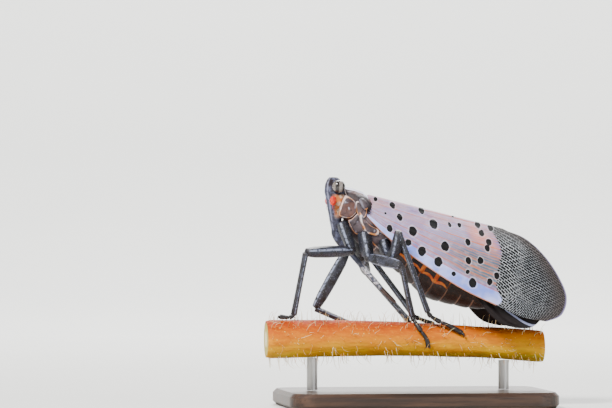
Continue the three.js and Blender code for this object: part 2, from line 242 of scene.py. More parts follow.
class Flow:
    """One number or colour on its way through a finish."""

    def __init__(self, paint, socket):
        self.paint = paint
        self.socket = socket

    def math(self, operation, *values):
        return self.paint.node("ShaderNodeMath", {"operation": operation}, dict(enumerate(values)))

    def __add__(self, other):
        return self.math("ADD", self, other)

    def __sub__(self, other):
        return self.math("SUBTRACT", self, other)

    def __rsub__(self, other):
        return self.math("SUBTRACT", other, self)

    def __mul__(self, other):
        return self.math("MULTIPLY", self, other)

    def __truediv__(self, other):
        return self.math("DIVIDE", self, other)

    def __gt__(self, other):
        return self.math("GREATER_THAN", self, other)

    def __abs__(self):
        return self.math("ABSOLUTE", self)

    __radd__ = __add__
    __rmul__ = __mul__

    def smallest(self, other):
        return self.math("MINIMUM", self, other)

    def biggest(self, other):
        return self.math("MAXIMUM", self, other)

    def floor(self):
        return self.math("FLOOR", self)

    def part(self):
        return self.math("FRACT", self)

    def rise(self, low, high):
        """0 below low, 1 above high, smooth between. With low above high it falls instead."""
        return self.paint.node(
            "ShaderNodeMapRange", {"interpolation_type": "SMOOTHSTEP"}, {0: self, 1: low, 2: high}
        )


class Paint:
    """One finish, with its nodes."""

    def __init__(self, name):
        self.material = bpy.data.materials.new(name)
        self.material.use_nodes = True
        self.tree = self.material.node_tree
        self.tree.nodes.clear()
        coordinates = self.node("ShaderNodeTexCoord", {}, {}, "Object")
        self.place = self.node(
            "ShaderNodeVectorMath", {"operation": "SCALE"}, {0: coordinates, "Scale": 1 / MM}
        )

    def node(self, kind, settings, values, output=0):
        """Any node: its settings first, then the values or links of its sockets."""
        made = self.tree.nodes.new(kind)
        for name, setting in settings.items():
            if name == "stops":
                stops = made.color_ramp.elements
                while len(stops) < len(setting):
                    stops.new(0.5)
                for stop, (at, colour) in zip(stops, setting):
                    stop.position = at
                    stop.color = colour
            else:
                setattr(made, name, setting)
        for key, value in values.items():
            if isinstance(value, Flow):
                self.tree.links.new(value.socket, made.inputs[key])
            else:
                made.inputs[key].default_value = value
        return Flow(self, made.outputs[output])

    def axis(self, letter):
        return self.node("ShaderNodeSeparateXYZ", {}, {0: self.place}, letter)

    def vector(self, x, y, z=0.0):
        return self.node("ShaderNodeCombineXYZ", {}, {0: x, 1: y, 2: z})

    def mark(self, name):
        """A number that the sheet carries at each of its corners."""
        return self.node("ShaderNodeAttribute", {"attribute_name": name}, {}, "Fac")

    def stretched(self, scale):
        """The place in millimetres, scaled by its own number along each axis."""
        return self.node("ShaderNodeVectorMath", {"operation": "MULTIPLY"}, {0: self.place, 1: scale})

    def bent_line(self, points, value, reach):
        """Reads a drawn curve: points are (value, result), and both lie between 0 and reach."""
        line = self.node("ShaderNodeFloatCurve", {}, {"Value": value / reach})
        mapping = line.socket.node.mapping
        curve = mapping.curves[0]
        curve.points[0].location = (0.0, points[0][1] / reach)
        curve.points[1].location = (1.0, points[-1][1] / reach)
        for at, result in points:
            curve.points.new(at / reach, result / reach)
        mapping.update()
        return line * reach

    def noise(self, scale, detail=3, place=None):
        return self.node(
            "ShaderNodeTexNoise", {}, {"Vector": place or self.place, "Scale": scale, "Detail": detail}
        )

    def cells(self, scale, feature="F1"):
        return self.node(
            "ShaderNodeTexVoronoi", {"feature": feature}, {"Vector": self.place, "Scale": scale}, "Distance"
        )

    def mix(self, share, first, second):
        return self.node("ShaderNodeMix", {"data_type": "RGBA"}, {0: share, 6: first, 7: second}, 2)

    def finish(self, colour, roughness, height=None, depth=0.02, coat=0.0, metallic=0.0, glint=0.35):
        """The whole shader. A height of 1 stands depth millimetres proud; glint is the specular level."""
        values = {
            "Base Color": colour,
            "Roughness": roughness,
            "Metallic": metallic,
            "Coat Weight": coat,
            "Specular IOR Level": glint,
        }
        if height is not None:
            values["Normal"] = self.node(
                "ShaderNodeBump", {}, {"Strength": 1.0, "Distance": depth * MM, "Height": height}
            )
        shader = self.node("ShaderNodeBsdfPrincipled", {}, values, "BSDF")
        end = self.tree.nodes.new("ShaderNodeOutputMaterial")
        self.tree.links.new(shader.socket, end.inputs["Surface"])
        return self.material


# %% [markdown]
# The perch is a cut length of a green stem, a little thinner at the far end. Real stems aren't round
# bars: the surface swells and dips, the bark rolls over at the cut, and pale bristles stand out all
# round. The stem is a bent sheet with the swellings in its rule; a bump map alone would leave its
# outline straight.

# %% Stem shape
STEM_REACH = 13.9
STEM_LENGTH = 26.0
STEM_SIDES = 56
STEM_STEPS = 240
STEM_HEIGHT = 6.25
STEM_FALL = 0.75
STEM_BOW = 0.35
STEM_THICK = 1.78
STEM_THIN = 1.47
STEM_TAPER = 1.35
CUT_SHARE = 0.02
SWELLS = (0.03, 0.012)
BARK_ROLL = 0.05
BARK_ROLL_REACH = 0.45


def stem_centre(x):
    share = (x + STEM_REACH) / STEM_LENGTH
    return STEM_HEIGHT - STEM_FALL * share + STEM_BOW * 4 * share * (1 - share)


def stem_radius(x):
    share = (x + STEM_REACH) / STEM_LENGTH
    return lerp(STEM_THICK, STEM_THIN, min(1, STEM_TAPER * share))


def stem_rule(turn, along):
    """The first and last rows of the grid are drawn in to the middle, as the two cut ends."""
    share, cut = ends(along, CUT_SHARE)
    x = -STEM_REACH + STEM_LENGTH * share
    angle = 2 * math.pi * turn
    ring = Vector((x * 0.22, math.cos(angle) * 0.8, math.sin(angle) * 0.8))
    swell = 1 + SWELLS[0] * noise.noise(ring) + SWELLS[1] * noise.noise(ring * 3)
    rolled = 1 - BARK_ROLL * step(BARK_ROLL_REACH, 0.0, min(share, 1 - share) * STEM_LENGTH)
    radius = stem_radius(x) * swell * rolled * cut
    centre = Vector((x, 0, stem_centre(x)))
    place = centre + Vector((0, math.cos(angle), math.sin(angle))) * radius
    return place, {"cut": 1.0 if cut < 0.999 else 0.0, "core": cut}


stem = sheet("stem", STEM_SIDES, STEM_STEPS, stem_rule)

# %% [markdown]
# The stem is orange red along its top, orange gold on its side and olive gold below, with small pale
# specks and a darker grain along it. The cut ends show a pale pith with a green ring. One finish does
# it all: height chooses the colour, and stretched noise gives the grain.

# %% Stem finish
bark = Paint("bark")
STEM_BOTTOM = 4.4
STEM_TALL = 3.8
grain = bark.noise(1.0, 4, bark.stretched((0.35, 2.2, 2.2)))
fine = bark.noise(6.0, 3, bark.stretched((0.5, 1.0, 1.0)))
uneven_height = bark.axis("Z") + (bark.noise(0.5) - 0.5) * 1.2
base = bark.node(
    "ShaderNodeValToRGB",
    {
        "stops": [
            (0.0, tint("8a7a10")),
            (0.2, tint("d6a008")),
            (0.5, tint("cc7a02")),
            (0.72, tint("b85602")),
            (0.88, tint("9a3204")),
            (1.0, tint("822604")),
        ]
    },
    {0: (uneven_height - STEM_BOTTOM) / STEM_TALL},
    "Color",
)
base = bark.mix(grain.rise(0.35, 0.75) * 0.5, base, tint("a8430c"))
base = bark.mix(fine.rise(0.5, 0.75) * 0.35, base, tint("e89a18"))
speck = bark.cells(2.6).rise(0.2, 0.1) * bark.noise(1.1).rise(0.45, 0.55)
base = bark.mix(speck * 0.8, base, tint("f4d878"))
end_face = bark.mark("cut") > 0.5
core = bark.mark("core")
rings = bark.mix(core.rise(0.35, 0.5), tint("e8dfb4"), tint("b6a95a"))
rings = bark.mix(core.rise(0.85, 0.95), rings, tint("7d5a24"))
base = bark.mix(end_face, base, rings)
relief = grain * 0.7 + fine * 0.3 + speck * 0.4
bark_look = bark.finish(base, 0.55 + grain * 0.2, relief, 0.12, glint=0.1)
hand_over(stem, bark_look, "stem", "perch_stem")

# %% [markdown]
# The bristles are real geometry, because they show against the light. Each is a thin bent cone with
# three sides. All are one mesh: the same short rule makes every bristle, with a seeded place, length,
# lean and curl. Each bristle has its own small patch of the bake map, at its root's place on the
# stem's unwrapped surface, where few patches touch.

# %% Stem hairs
HAIR_COUNT = 520
HAIR_ROOT = 0.032
HAIR_RINGS = 5
HAIR_FACES = HAIR_RINGS * 3 + 1
HAIR_MARGIN = 0.3
HAIR_LENGTHS = (0.45, 1.45)
HAIR_LEANS = (-0.5, 0.8)
HAIR_CURLS = (-0.9, 0.9)
HAIR_SINK = 0.97
HAIR_PATCH = 0.003
PATCH_CELLS = 4
SQUARE = ((0.1, 0.1), (0.9, 0.1), (0.9, 0.9), (0.1, 0.9))
hair_random = random.Random(7)


def hair_points():
    """The corners and faces of all the hairs, and each root's place on the unwrapped stem."""
    corners = []
    faces = []
    roots = []
    for _ in range(HAIR_COUNT):
        x = hair_random.uniform(-STEM_REACH + HAIR_MARGIN, STEM_LENGTH - STEM_REACH - HAIR_MARGIN)
        angle = hair_random.uniform(0, 2 * math.pi)
        length = hair_random.uniform(*HAIR_LENGTHS)
        lean = hair_random.uniform(*HAIR_LEANS)
        curl = hair_random.uniform(*HAIR_CURLS)
        out = Vector((0, math.cos(angle), math.sin(angle)))
        round_it = Vector((0, -math.sin(angle), math.cos(angle)))
        root = Vector((x, 0, stem_centre(x))) + out * stem_radius(x) * HAIR_SINK
        bend = Vector((1, 0, 0)) * lean + round_it * curl * 0.5
        first = len(corners)
        for ring in range(HAIR_RINGS):
            share = ring / HAIR_RINGS
            centre = root + (out * math.sin(share * 1.5) + bend * share * share) * length
            for corner in range(3):
                around = 2 * math.pi * corner / 3
                edge = Vector((math.cos(around), 0, 0)) + round_it * math.sin(around)
                corners.append((centre + edge * HAIR_ROOT * (1 - 0.8 * share)) * MM)
        corners.append((root + (out + bend) * length) * MM)
        for ring in range(HAIR_RINGS - 1):
            for corner in range(3):
                a = first + ring * 3 + corner
                b = first + ring * 3 + (corner + 1) % 3
                faces.append((a, b, b + 3, a + 3))
        last = first + (HAIR_RINGS - 1) * 3
        for corner in range(3):
            faces.append((last + corner, last + (corner + 1) % 3, first + HAIR_RINGS * 3))
        faces.append((first + 2, first + 1, first))
        roots.append((angle / (2 * math.pi), (x + STEM_REACH) / STEM_LENGTH))
    return corners, faces, roots


def from_points(name, corners, faces):
    """A mesh from its corners and faces, with the faces turned outwards."""
    mesh = bpy.data.meshes.new(name)
    mesh.from_pydata(corners, [], faces)
    piece = bpy.data.objects.new(name, mesh)
    bpy.context.scene.collection.objects.link(piece)
    deselect()
    bpy.context.view_layer.objects.active = piece
    piece.select_set(True)
    bpy.ops.object.mode_set(mode="EDIT")
    bpy.ops.mesh.select_all(action="SELECT")
    bpy.ops.mesh.normals_make_consistent(inside=False)
    bpy.ops.object.mode_set(mode="OBJECT")
    return piece


def lay_hair_map(piece, roots):
    """Puts each hair on a small patch of the stem's own unwrapped surface, at its root's place."""
    layer = piece.data.uv_layers.new(name="OFBake")
    for face in piece.data.polygons:
        hair, number = divmod(face.index, HAIR_FACES)
        turn, along = roots[hair]
        for loop, (right, over) in zip(face.loop_indices, SQUARE):
            column = (number % PATCH_CELLS + right) / PATCH_CELLS - 0.5
            row = (number // PATCH_CELLS + over) / PATCH_CELLS - 0.5
            layer.data[loop].uv = (turn + column * HAIR_PATCH, along + row * HAIR_PATCH)


bristle = Paint("bristle")
bristle_colour = bristle.mix(bristle.noise(0.8).rise(0.35, 0.65), tint("e9dfae"), tint("c98f55"))
corners, faces, roots = hair_points()
hairs = from_points("stem_hairs", corners, faces)
lay_hair_map(hairs, roots)
hand_over(hairs, bristle.finish(bristle_colour, 0.35), "stem")

# %% [markdown]
# The roof is the shape the two folded forewings make together: a ridge that falls towards the tail and
# two sides that bulge out from it. Everything on the wings is laid on this one surface, so the wings
# meet at the ridge and the hindwings lie just inside.

# %% Roof
RIDGE_HEIGHT = 18.35
RIDGE_SLOPE = -0.252
ROOF_EDGE = 0.22
ROOF_SPREAD = 5.2
ROOF_DROP = 4.0
ROOF_FULLEST = 4
NORMAL_SLIP = 0.01


def ridge(x):
    return RIDGE_HEIGHT + RIDGE_SLOPE * x


def roof_fullness(x):
    return 1.12 - 0.004 * (x - ROOF_FULLEST) ** 2


def roof_width(x, z):
    """How far the roof stands out from the middle, at a place in side view."""
    drop = max(ridge(x) - z, 0)
    return (ROOF_EDGE + ROOF_SPREAD * (1 - math.exp(-drop / ROOF_DROP))) * roof_fullness(x)


def roof_normal(x, z):
    slip = NORMAL_SLIP
    along_x = (roof_width(x + slip, z) - roof_width(x - slip, z)) / (2 * slip)
    along_z = (roof_width(x, z + slip) - roof_width(x, z - slip)) / (2 * slip)
    return Vector((-along_x, -1, -along_z)).normalized()


# %% [markdown]
# A forewing's outline is four curves in side view: the lower margin, the line along the ridge, the
# root and the rounded tip. A patch is stretched between the four, and each point of it is then set on
# the roof. The wing is a closed sheet, a fifth of a millimetre thick at most and thin at its margins,
# with the long veins raised. It carries marks for how far along and across it each point lies, which
# the veins and the net follow.

# %% Wing outlines
FORE_LOWER = [
    (-4.8, 17.6), (-2.95, 15.6), (-0.1, 13.35), (3.55, 10.95), (7.0, 9.3), (9.2, 8.35), (11.65, 7.9),
]
FORE_UPPER = [(x, ridge(x)) for x in (-4.4, 0.0, 4.0, 6.5, 8.2)]
FORE_ROOT = [(-4.8, 17.6), (-4.95, 18.5), (-4.4, ridge(-4.4))]
FORE_TIP = [
    (11.65, 7.9), (13.2, 8.5), (13.81, 10.1), (13.1, 12.1), (11.8, 14.1), (10.2, 15.55), (8.2, ridge(8.2)),
]
HIND_LOWER = [(-2.4, 16.2), (0.6, 13.7), (3.2, 11.9), (4.9, 10.6), (6.2, 8.9), (7.4, 7.85), (8.9, 7.42)]
HIND_UPPER = [(-2.2, 17.6), (1.5, 16.8), (5.0, 15.8), (8.6, 14.6)]
HIND_ROOT = [(-2.4, 16.2), (-2.4, 16.9), (-2.2, 17.6)]
HIND_TIP = [(8.9, 7.42), (10.5, 7.5), (11.6, 8.6), (11.6, 10.8), (10.6, 12.9), (8.6, 14.6)]
WING_RIM = 0.012
END_RIM = 1.6
CROWN_START = 0.93
RIDGE_GAP = 0.06


def patch(edges, along, across):
    """A point between four edges: lower, upper, root and tip."""
    lower, upper, root, tip = edges
    low = spline(lower, along)
    high = spline(upper, along)
    near = spline(root, across)
    far = spline(tip, across)
    corners = (
        Vector(lower[0]) * (1 - along) * (1 - across)
        + Vector(lower[-1]) * along * (1 - across)
        + Vector(upper[0]) * (1 - along) * across
        + Vector(upper[-1]) * along * across
    )
    return low * (1 - across) + high * across + near * (1 - along) + far * along - corners


def wing_rule(edges, side, inset, thickness, veins, meet):
    """The rule for a wing: its outer face on the first half of the grid, its inner face on the rest.

    A wing that meets its pair is carried up and in over the ridge, along its upper edge.
    """

    def rule(turn, along):
        outer = turn <= 0.5
        across = clamp(2 * turn if outer else 2 - 2 * turn)
        x, z = patch(edges, along, across)
        rim = min(across, 1 - across, along * END_RIM, (1 - along) * END_RIM)
        half = thickness / 2 * clamp(rim / WING_RIM) ** 0.5
        relief = veins(along, across) if outer and rim > 0 else 0.0
        crown = step(CROWN_START, 1.0, across) if meet else 0.0
        width = lerp(roof_width(x, z), RIDGE_GAP, crown)
        rise = (roof_width(x, z) - RIDGE_GAP) * crown * ROOF_DROP / ROOF_SPREAD / roof_fullness(x)
        normal = roof_normal(x, z)
        off = inset + (half if outer else -half) + relief
        point = Vector((x, -width, z + rise)) + normal * off
        point.y *= -side
        return point, {"along": along, "across": across}

    return rule


# %% [markdown]
# Long veins run from the root, bend apart, and stop where the leathery part of the wing gives way to
# the net. They are low rounded ridges; the net itself is far finer than any sheet of faces, so it is
# painted and bumped.

# %% Forewings
CORIUM_VEINS = (0.18, 0.25, 0.33, 0.42, 0.52, 0.62, 0.73, 0.85, 0.95)
NET_START = 0.66
FIRST_VEIN_HEIGHT = 0.07
VEIN_HEIGHT = 0.05
VEIN_WIDTH = 0.011
MARGIN_HEIGHT = 0.06
MARGIN_WIDTH = 0.012
FORE_GRID = (240, 150)
FORE_INSET = 0.04
FORE_THICK = 0.18


def fore_veins(along, across):
    height = 0.0
    for index, vein in enumerate(CORIUM_VEINS):
        bend = vein + 0.012 * math.sin(along * 7 + index * 2.1)
        strength = FIRST_VEIN_HEIGHT if index == 0 else VEIN_HEIGHT
        height += strength * math.exp(-((across - bend) / VEIN_WIDTH) ** 2)
    margin = MARGIN_HEIGHT * math.exp(-(across / MARGIN_WIDTH) ** 2)
    return height * step(NET_START + 0.08, NET_START - 0.06, along) + margin


SIDES = (("left", -1), ("right", 1))
FORE_EDGES = (FORE_LOWER, FORE_UPPER, FORE_ROOT, FORE_TIP)
forewings = {}
for hand, side in SIDES:
    rule = wing_rule(FORE_EDGES, side, FORE_INSET, FORE_THICK, fore_veins, True)
    forewings[hand] = sheet(f"forewing.{hand}", *FORE_GRID, rule)
print("forewings", list(forewings))


# %% [markdown]
# The hindwings lie folded under the forewings and only their edges show: nearly black, with a thin
# pale fold near the rear edge. They are made by the same rule, two thirds of a millimetre further in,
# with a fan of folds.

# %% Hindwings
HIND_EDGES = (HIND_LOWER, HIND_UPPER, HIND_ROOT, HIND_TIP)
HIND_GRID = (120, 90)
HIND_INSET = -0.62
HIND_THICK = 0.14
FOLD_HEIGHT = 0.05
FOLDS = 46


def hind_veins(along, across):
    return FOLD_HEIGHT * math.sin(across * FOLDS + along * 5) * step(0, 0.15, min(along, 1 - along))


hindwings = {}
for hand, side in SIDES:
    rule = wing_rule(HIND_EDGES, side, HIND_INSET, HIND_THICK, hind_veins, False)
    hindwings[hand] = sheet(f"hindwing.{hand}", *HIND_GRID, rule)
print("hindwings", list(hindwings))

# %% [markdown]
# The forewing's finish is what this insect is known by. Its leathery part is lavender grey, warmer and
# pinker towards the middle, bluer along the lower margin, with fine orange pink veins and more than two
# dozen black spots. Past an uneven border the wing is a net: rows of short black bars between pale veins,
# finer towards the tip, brown near the margin, with a lavender rim. The spots are placed one by one,
# and a little noise keeps them from being perfect ovals. The bars come from the place on the wing,
# measured along and across the rows, with each row shifted by its own amount.

# %% Forewing finish
LARGE, MIDDLE, SMALL, TINY = 0.4, 0.29, 0.2, 0.12
SPOTS = [
    (-3.75, 19.22, SMALL), (-2.19, 18.66, MIDDLE), (0.55, 18.15, MIDDLE), (3.56, 17.64, TINY),
    (5.85, 16.84, MIDDLE), (7.07, 16.53, MIDDLE), (-1.69, 17.55, MIDDLE), (3.05, 16.84, SMALL),
    (4.02, 16.81, SMALL), (6.05, 16.06, MIDDLE), (1.50, 16.90, LARGE), (6.60, 15.23, MIDDLE),
    (6.38, 14.67, MIDDLE), (-0.60, 16.25, LARGE), (4.56, 15.23, MIDDLE), (-2.75, 16.53, MIDDLE),
    (-1.12, 15.23, MIDDLE), (2.30, 14.86, LARGE), (4.38, 13.56, MIDDLE), (5.54, 13.56, MIDDLE),
    (0.05, 14.43, LARGE), (4.21, 12.53, SMALL), (6.97, 12.16, MIDDLE), (6.26, 11.61, MIDDLE),
    (2.87, 12.35, SMALL), (1.52, 13.46, LARGE), (4.63, 11.51, LARGE), (-2.98, 17.92, TINY),
]
BORDER = [
    (6.4, 9.2), (7.18, 9.8), (6.85, 11.05), (7.07, 12.4),
    (7.59, 14.0), (7.62, 15.0), (6.88, 16.5), (6.6, 17.2),
]
BORDER_REACH = 20
BLUSH = (6.2, 15.3)
BAR_LENGTH = 0.52
ROW_HEIGHT = 0.235
ROW_TURN = math.radians(-34)
LOW_TURN = math.radians(48)


def bars(paint, x, z, turn, length, height):
    """1 inside the dark bars of a net of rows, 0 on its veins."""
    ahead = x * math.cos(turn) + z * math.sin(turn)
    aside = z * math.cos(turn) - x * math.sin(turn)
    row = aside / height
    shifted = ahead / length + (row.floor() * 0.618).part()
    in_row = abs(row.part() - 0.5)
    in_bar = abs(shifted.part() - 0.5)
    return in_row.rise(0.47, 0.38) * in_bar.rise(0.49, 0.45)


def wing_finish():
    wing = Paint("forewing")
    x = wing.axis("X")
    z = wing.axis("Z")
    along = wing.mark("along")
    across = wing.mark("across")
    cloud = wing.noise(0.35, 3)
    mottle = wing.noise(1.6, 4)
    crepe = wing.noise(9.0, 3)
    base = wing.mix(cloud.rise(0.35, 0.65), tint("6a6aa6"), tint("9492bc"))
    warm = (wing.noise(0.28, 2, wing.stretched((1, 1, 2.2))) + (across - 0.5) * 0.2).rise(0.44, 0.6)
    base = wing.mix(warm * 0.5, base, tint("b0837a"))
    from_blush = x - BLUSH[0]
    pink = (abs(from_blush) / 1.9).rise(1.0, 0.3)
    pink = pink * (abs(z - BLUSH[1] + from_blush * 0.9) / 1.3).rise(1.0, 0.3)
    base = wing.mix(pink * 0.85, base, tint("d08580"))
    dusk = along.rise(0.26, 0.5) * across.rise(0.16, 0.26) * across.rise(0.75, 0.42)
    base = wing.mix(dusk * 0.95, base, tint("475a68"))
    base = wing.mix(across.rise(0.86, 0.98) * 0.6, base, tint("b0b0d6"))
    low_strip = wing.mix(cloud.rise(0.4, 0.62), tint("6f82d8"), tint("a9b2ec"))
    base = wing.mix(across.rise(0.195, 0.165), base, low_strip)
    base = wing.mix(mottle.rise(0.45, 0.75) * 0.3, base, tint("c4bfd2"))
    fan = across + (wing.noise(0.5, 2) - 0.5) * 0.03
    vein = None
    for at in CORIUM_VEINS:
        one_vein = abs(fan - at - 0.006).rise(0.007, 0.002)
        vein = one_vein if vein is None else vein.biggest(one_vein)
    threads = abs(((fan * 34 + mottle * 0.8).part()) - 0.5).rise(0.2, 0.06) * across.rise(0.17, 0.2)
    base = wing.mix(threads * (cloud * 0.6 + 0.3), base, tint("c0774f"))
    base = wing.mix(vein * 0.85, base, tint("c4642f"))
    base = wing.mix(across.rise(0.028, 0.008) * 0.9, base, tint("d08a5a"))

    edge = wing.bent_line([(at_z, at_x) for at_x, at_z in BORDER], z, BORDER_REACH)
    past = x - edge + (wing.noise(1.3, 2) - 0.5) * 0.5
    net = past.rise(-0.06, 0.1)

    sway_x = x + (wing.noise(0.33, 1) - 0.5) * 0.9
    sway_z = z + (wing.noise(0.4, 1) - 0.5) * 0.8
    coarse = bars(wing, sway_x, sway_z, ROW_TURN, BAR_LENGTH, ROW_HEIGHT)
    finer = bars(wing, sway_x, sway_z, ROW_TURN, BAR_LENGTH * 0.85, ROW_HEIGHT * 0.84)
    crossed = bars(wing, sway_x, sway_z, LOW_TURN, BAR_LENGTH * 0.9, ROW_HEIGHT * 0.72)
    low_belt = (across + (mottle - 0.5) * 0.12).rise(0.24, 0.16) * past.rise(0.5, 1.0)
    dark = coarse * past.rise(2.6, 1.5) + finer * past.rise(1.5, 2.6)
    dark = dark * (1 - low_belt) + crossed * low_belt
    strength = (across + (cloud - 0.5) * 0.6).rise(0.95, 0.6) * 0.1 + 0.9
    rim_zone = (along + (mottle - 0.5) * 0.03).rise(0.86, 0.97)
    strength = strength * (1 - rim_zone * 0.15)
    ground = wing.mix(mottle.rise(0.4, 0.7), tint("e6ebf2"), tint("a9b0b8"))
    ground = wing.mix(past.rise(1.3, 3.2) * 0.4, ground, tint("6f757e"))
    ground = wing.mix(along.rise(0.82, 0.95) * 0.85, ground, tint("5e4c45"))
    ground = wing.mix(across.rise(0.66, 0.9) * 0.8, ground, tint("4e4440"))
    netted = wing.mix(dark * strength, ground, tint("0a090b"))
    netted = wing.mix(along.rise(0.975, 0.992), netted, tint("877da8"))
    colour = wing.mix(net, base, netted)

    ragged_x = x + (wing.noise(2.0, 1) - 0.5) * 0.18
    ragged_z = z + (wing.noise(2.3, 1) - 0.5) * 0.18
    near = None
    for at_x, at_z, radius in SPOTS:
        gap = wing.node(
            "ShaderNodeVectorMath",
            {"operation": "LENGTH"},
            {0: wing.vector((ragged_x - at_x) / (radius * 0.92), (ragged_z - at_z) / (radius * 1.1))},
            "Value",
        )
        near = gap if near is None else near.smallest(gap)
    spot = near.rise(1.1, 0.98)
    colour = wing.mix(near.rise(1.45, 1.15) * 0.35, colour, tint("dcd8e4"))
    colour = wing.mix(spot, colour, tint("040405"))
    height = vein * 0.5 + threads * 0.12 + crepe * 0.25
    height = height * (1 - net) + (1 - dark) * net * 0.9 + crepe * 0.1
    roughness = 0.46 + mottle * 0.14 + spot * 0.15
    return wing.finish(colour, roughness, height * (1 - spot), 0.05, glint=0.22)


forewing_look = wing_finish()
for hand, piece in forewings.items():
    hand_over(piece, forewing_look, "forewing", f"forewing_{hand}", sharp=60)

# %% [markdown]
# A hindwing at rest is nearly black. One pale blue fold runs along its free edge, and shows below the
# forewing's tip. The fold follows a drawn curve, because a straight band would miss the edge.

# %% Hindwing finish
PALE_FOLD = [
    (7.1, 9.5), (7.95, 8.91), (8.8, 8.33), (9.66, 7.81), (10.51, 7.54), (11.15, 7.65), (11.6, 8.4),
]
FOLD_REACH = 16
black_wing = Paint("hindwing")
under = black_wing.mix(black_wing.noise(1.2), tint("050405"), tint("1a1111"))
fold_height = black_wing.bent_line(PALE_FOLD, black_wing.axis("X"), FOLD_REACH)
off_fold = abs(black_wing.axis("Z") - fold_height)
fold_here = off_fold.rise(0.15, 0.07) * black_wing.axis("X").rise(7.1, 7.4)
under = black_wing.mix(fold_here * 0.9, under, tint("a9aed4"))
hindwing_look = black_wing.finish(under, 0.5, black_wing.noise(7.0) * 0.3 + fold_here, 0.03, glint=0.2)
for hand, piece in hindwings.items():
    hand_over(piece, hindwing_look, "hindwing", f"hindwing_{hand}", sharp=60)

# %% [markdown]
# The trunk is a tapering drum that tilts down towards the tail. Its table gives the half width, the
# height above the axis and the depth below it. The plates of the chest and the rings of the abdomen
# are all bent over the same drum, so the body keeps one outline under its many plates.

# %% Trunk
TILT = math.radians(32)
TRUNK_START = Vector((-4.65, 0, 17.05))
TRUNK = [
    [-3.1, 1.25, 1.75, 0.55], [-2.3, 1.8, 1.95, 0.85], [-1.05, 2.1, 1.95, 0.9], [-1.0, 2.0, 1.85, 1.75],
    [0.5, 2.3, 1.9, 2.15], [2.0, 2.3, 1.9, 2.1], [3.6, 2.3, 1.9, 2.0], [5.2, 2.55, 1.9, 2.3],
    [7.0, 2.75, 1.9, 2.62], [8.4, 2.75, 1.9, 2.85], [9.6, 2.5, 1.8, 2.6], [11.0, 2.1, 1.6, 2.1],
    [12.2, 1.65, 1.3, 1.7], [13.3, 1.05, 0.9, 1.15], [14.4, 0.4, 0.4, 0.4],
]


def trunk_place(along, y, above):
    sideways = Vector((math.cos(TILT), 0, -math.sin(TILT))) * along
    upwards = Vector((math.sin(TILT), 0, math.cos(TILT))) * above
    return TRUNK_START + sideways + upwards + Vector((0, y, 0))


def ring_place(along, angle, grown=1.0):
    """A point on the drum. The angle starts at the top and goes down the left side."""
    width, rise, depth = between(TRUNK, along)
    tall = rise if math.cos(angle) > 0 else depth
    return trunk_place(along, -math.sin(angle) * width * grown, math.cos(angle) * tall * grown)


# %% [markdown]
# The abdomen is a skin with shell plates set in it. Each ring laps over the next, so the profile is a
# low saw: it swells and then steps in. Low on each side a row of small dark plates lies in bright
# orange skin; below it each ring has one dark plate, and a thin pale line parts it from the next. The
# marks say where skin shows, and the same numbers set the skin lower than the plates.

# %% Abdomen
RING_JOINTS = [3.6, 5.2, 6.7, 8.2, 9.7, 11.1, 12.4, 14.45]
ABDOMEN_START = 3.45
ABDOMEN_END = 14.45
END_SHARE = 0.01
UNDER_ROOF = 1.6
ORANGE_ENDS = (10.4, 8.6)


def ring_share(along):
    """How far along its own ring a point lies, from 0 to 1."""
    for first, last in zip(RING_JOINTS, RING_JOINTS[1:]):
        if along <= last:
            return (along - first) / (last - first)
    return 1.0


def abdomen_rule(turn, share):
    length, closing = ends(share, END_SHARE)
    along = lerp(ABDOMEN_START, ABDOMEN_END, length)
    angle = 2 * math.pi * turn
    side_angle = abs(angle if angle <= math.pi else angle - 2 * math.pi)
    q = ring_share(max(along + 0.22 * math.sin(side_angle) * math.sin(side_angle), RING_JOINTS[0]))
    low = math.cos(side_angle)
    flank = -0.52 + 0.1 * math.sin(math.pi * q)
    low_line = math.exp(-((low - flank) / 0.06) ** 2)
    top_line = math.exp(-((low + 0.12 - 0.07 * math.sin(math.pi * q)) / 0.07) ** 2)
    gap = step(0.09, 0.02, q) + step(0.93, 0.985, q)
    in_row = step(flank - 0.02, flank + 0.04, low) * step(-0.02, -0.12, low)
    wide_gap = (step(0.2, 0.1, q) + step(0.84, 0.93, q)) * in_row
    orange = clamp(max(low_line, top_line, wide_gap))
    pale = clamp(gap) * (1 - in_row)
    plate = 1 + 0.022 * math.sin(math.pi * q) + 0.018 * q
    grown = plate - 0.03 * orange - 0.025 * pale
    grown += 0.01 * noise.noise(Vector((along, angle * 2, 0)))
    orange *= step(*ORANGE_ENDS, along)
    place = ring_place(along, angle, grown * closing)
    place.z = min(place.z, ridge(place.x) - UNDER_ROOF)
    return place, {"orange": orange, "pale": pale, "back": clamp((along - 4) / 10)}


abdomen = sheet("abdomen", 144, 190, abdomen_rule)

# %% [markdown]
# The plates are dark brown and slightly waxy, greyer near the legs and browner to the rear. The skin
# between them is orange where it is wide, and cream where only a line of it shows.

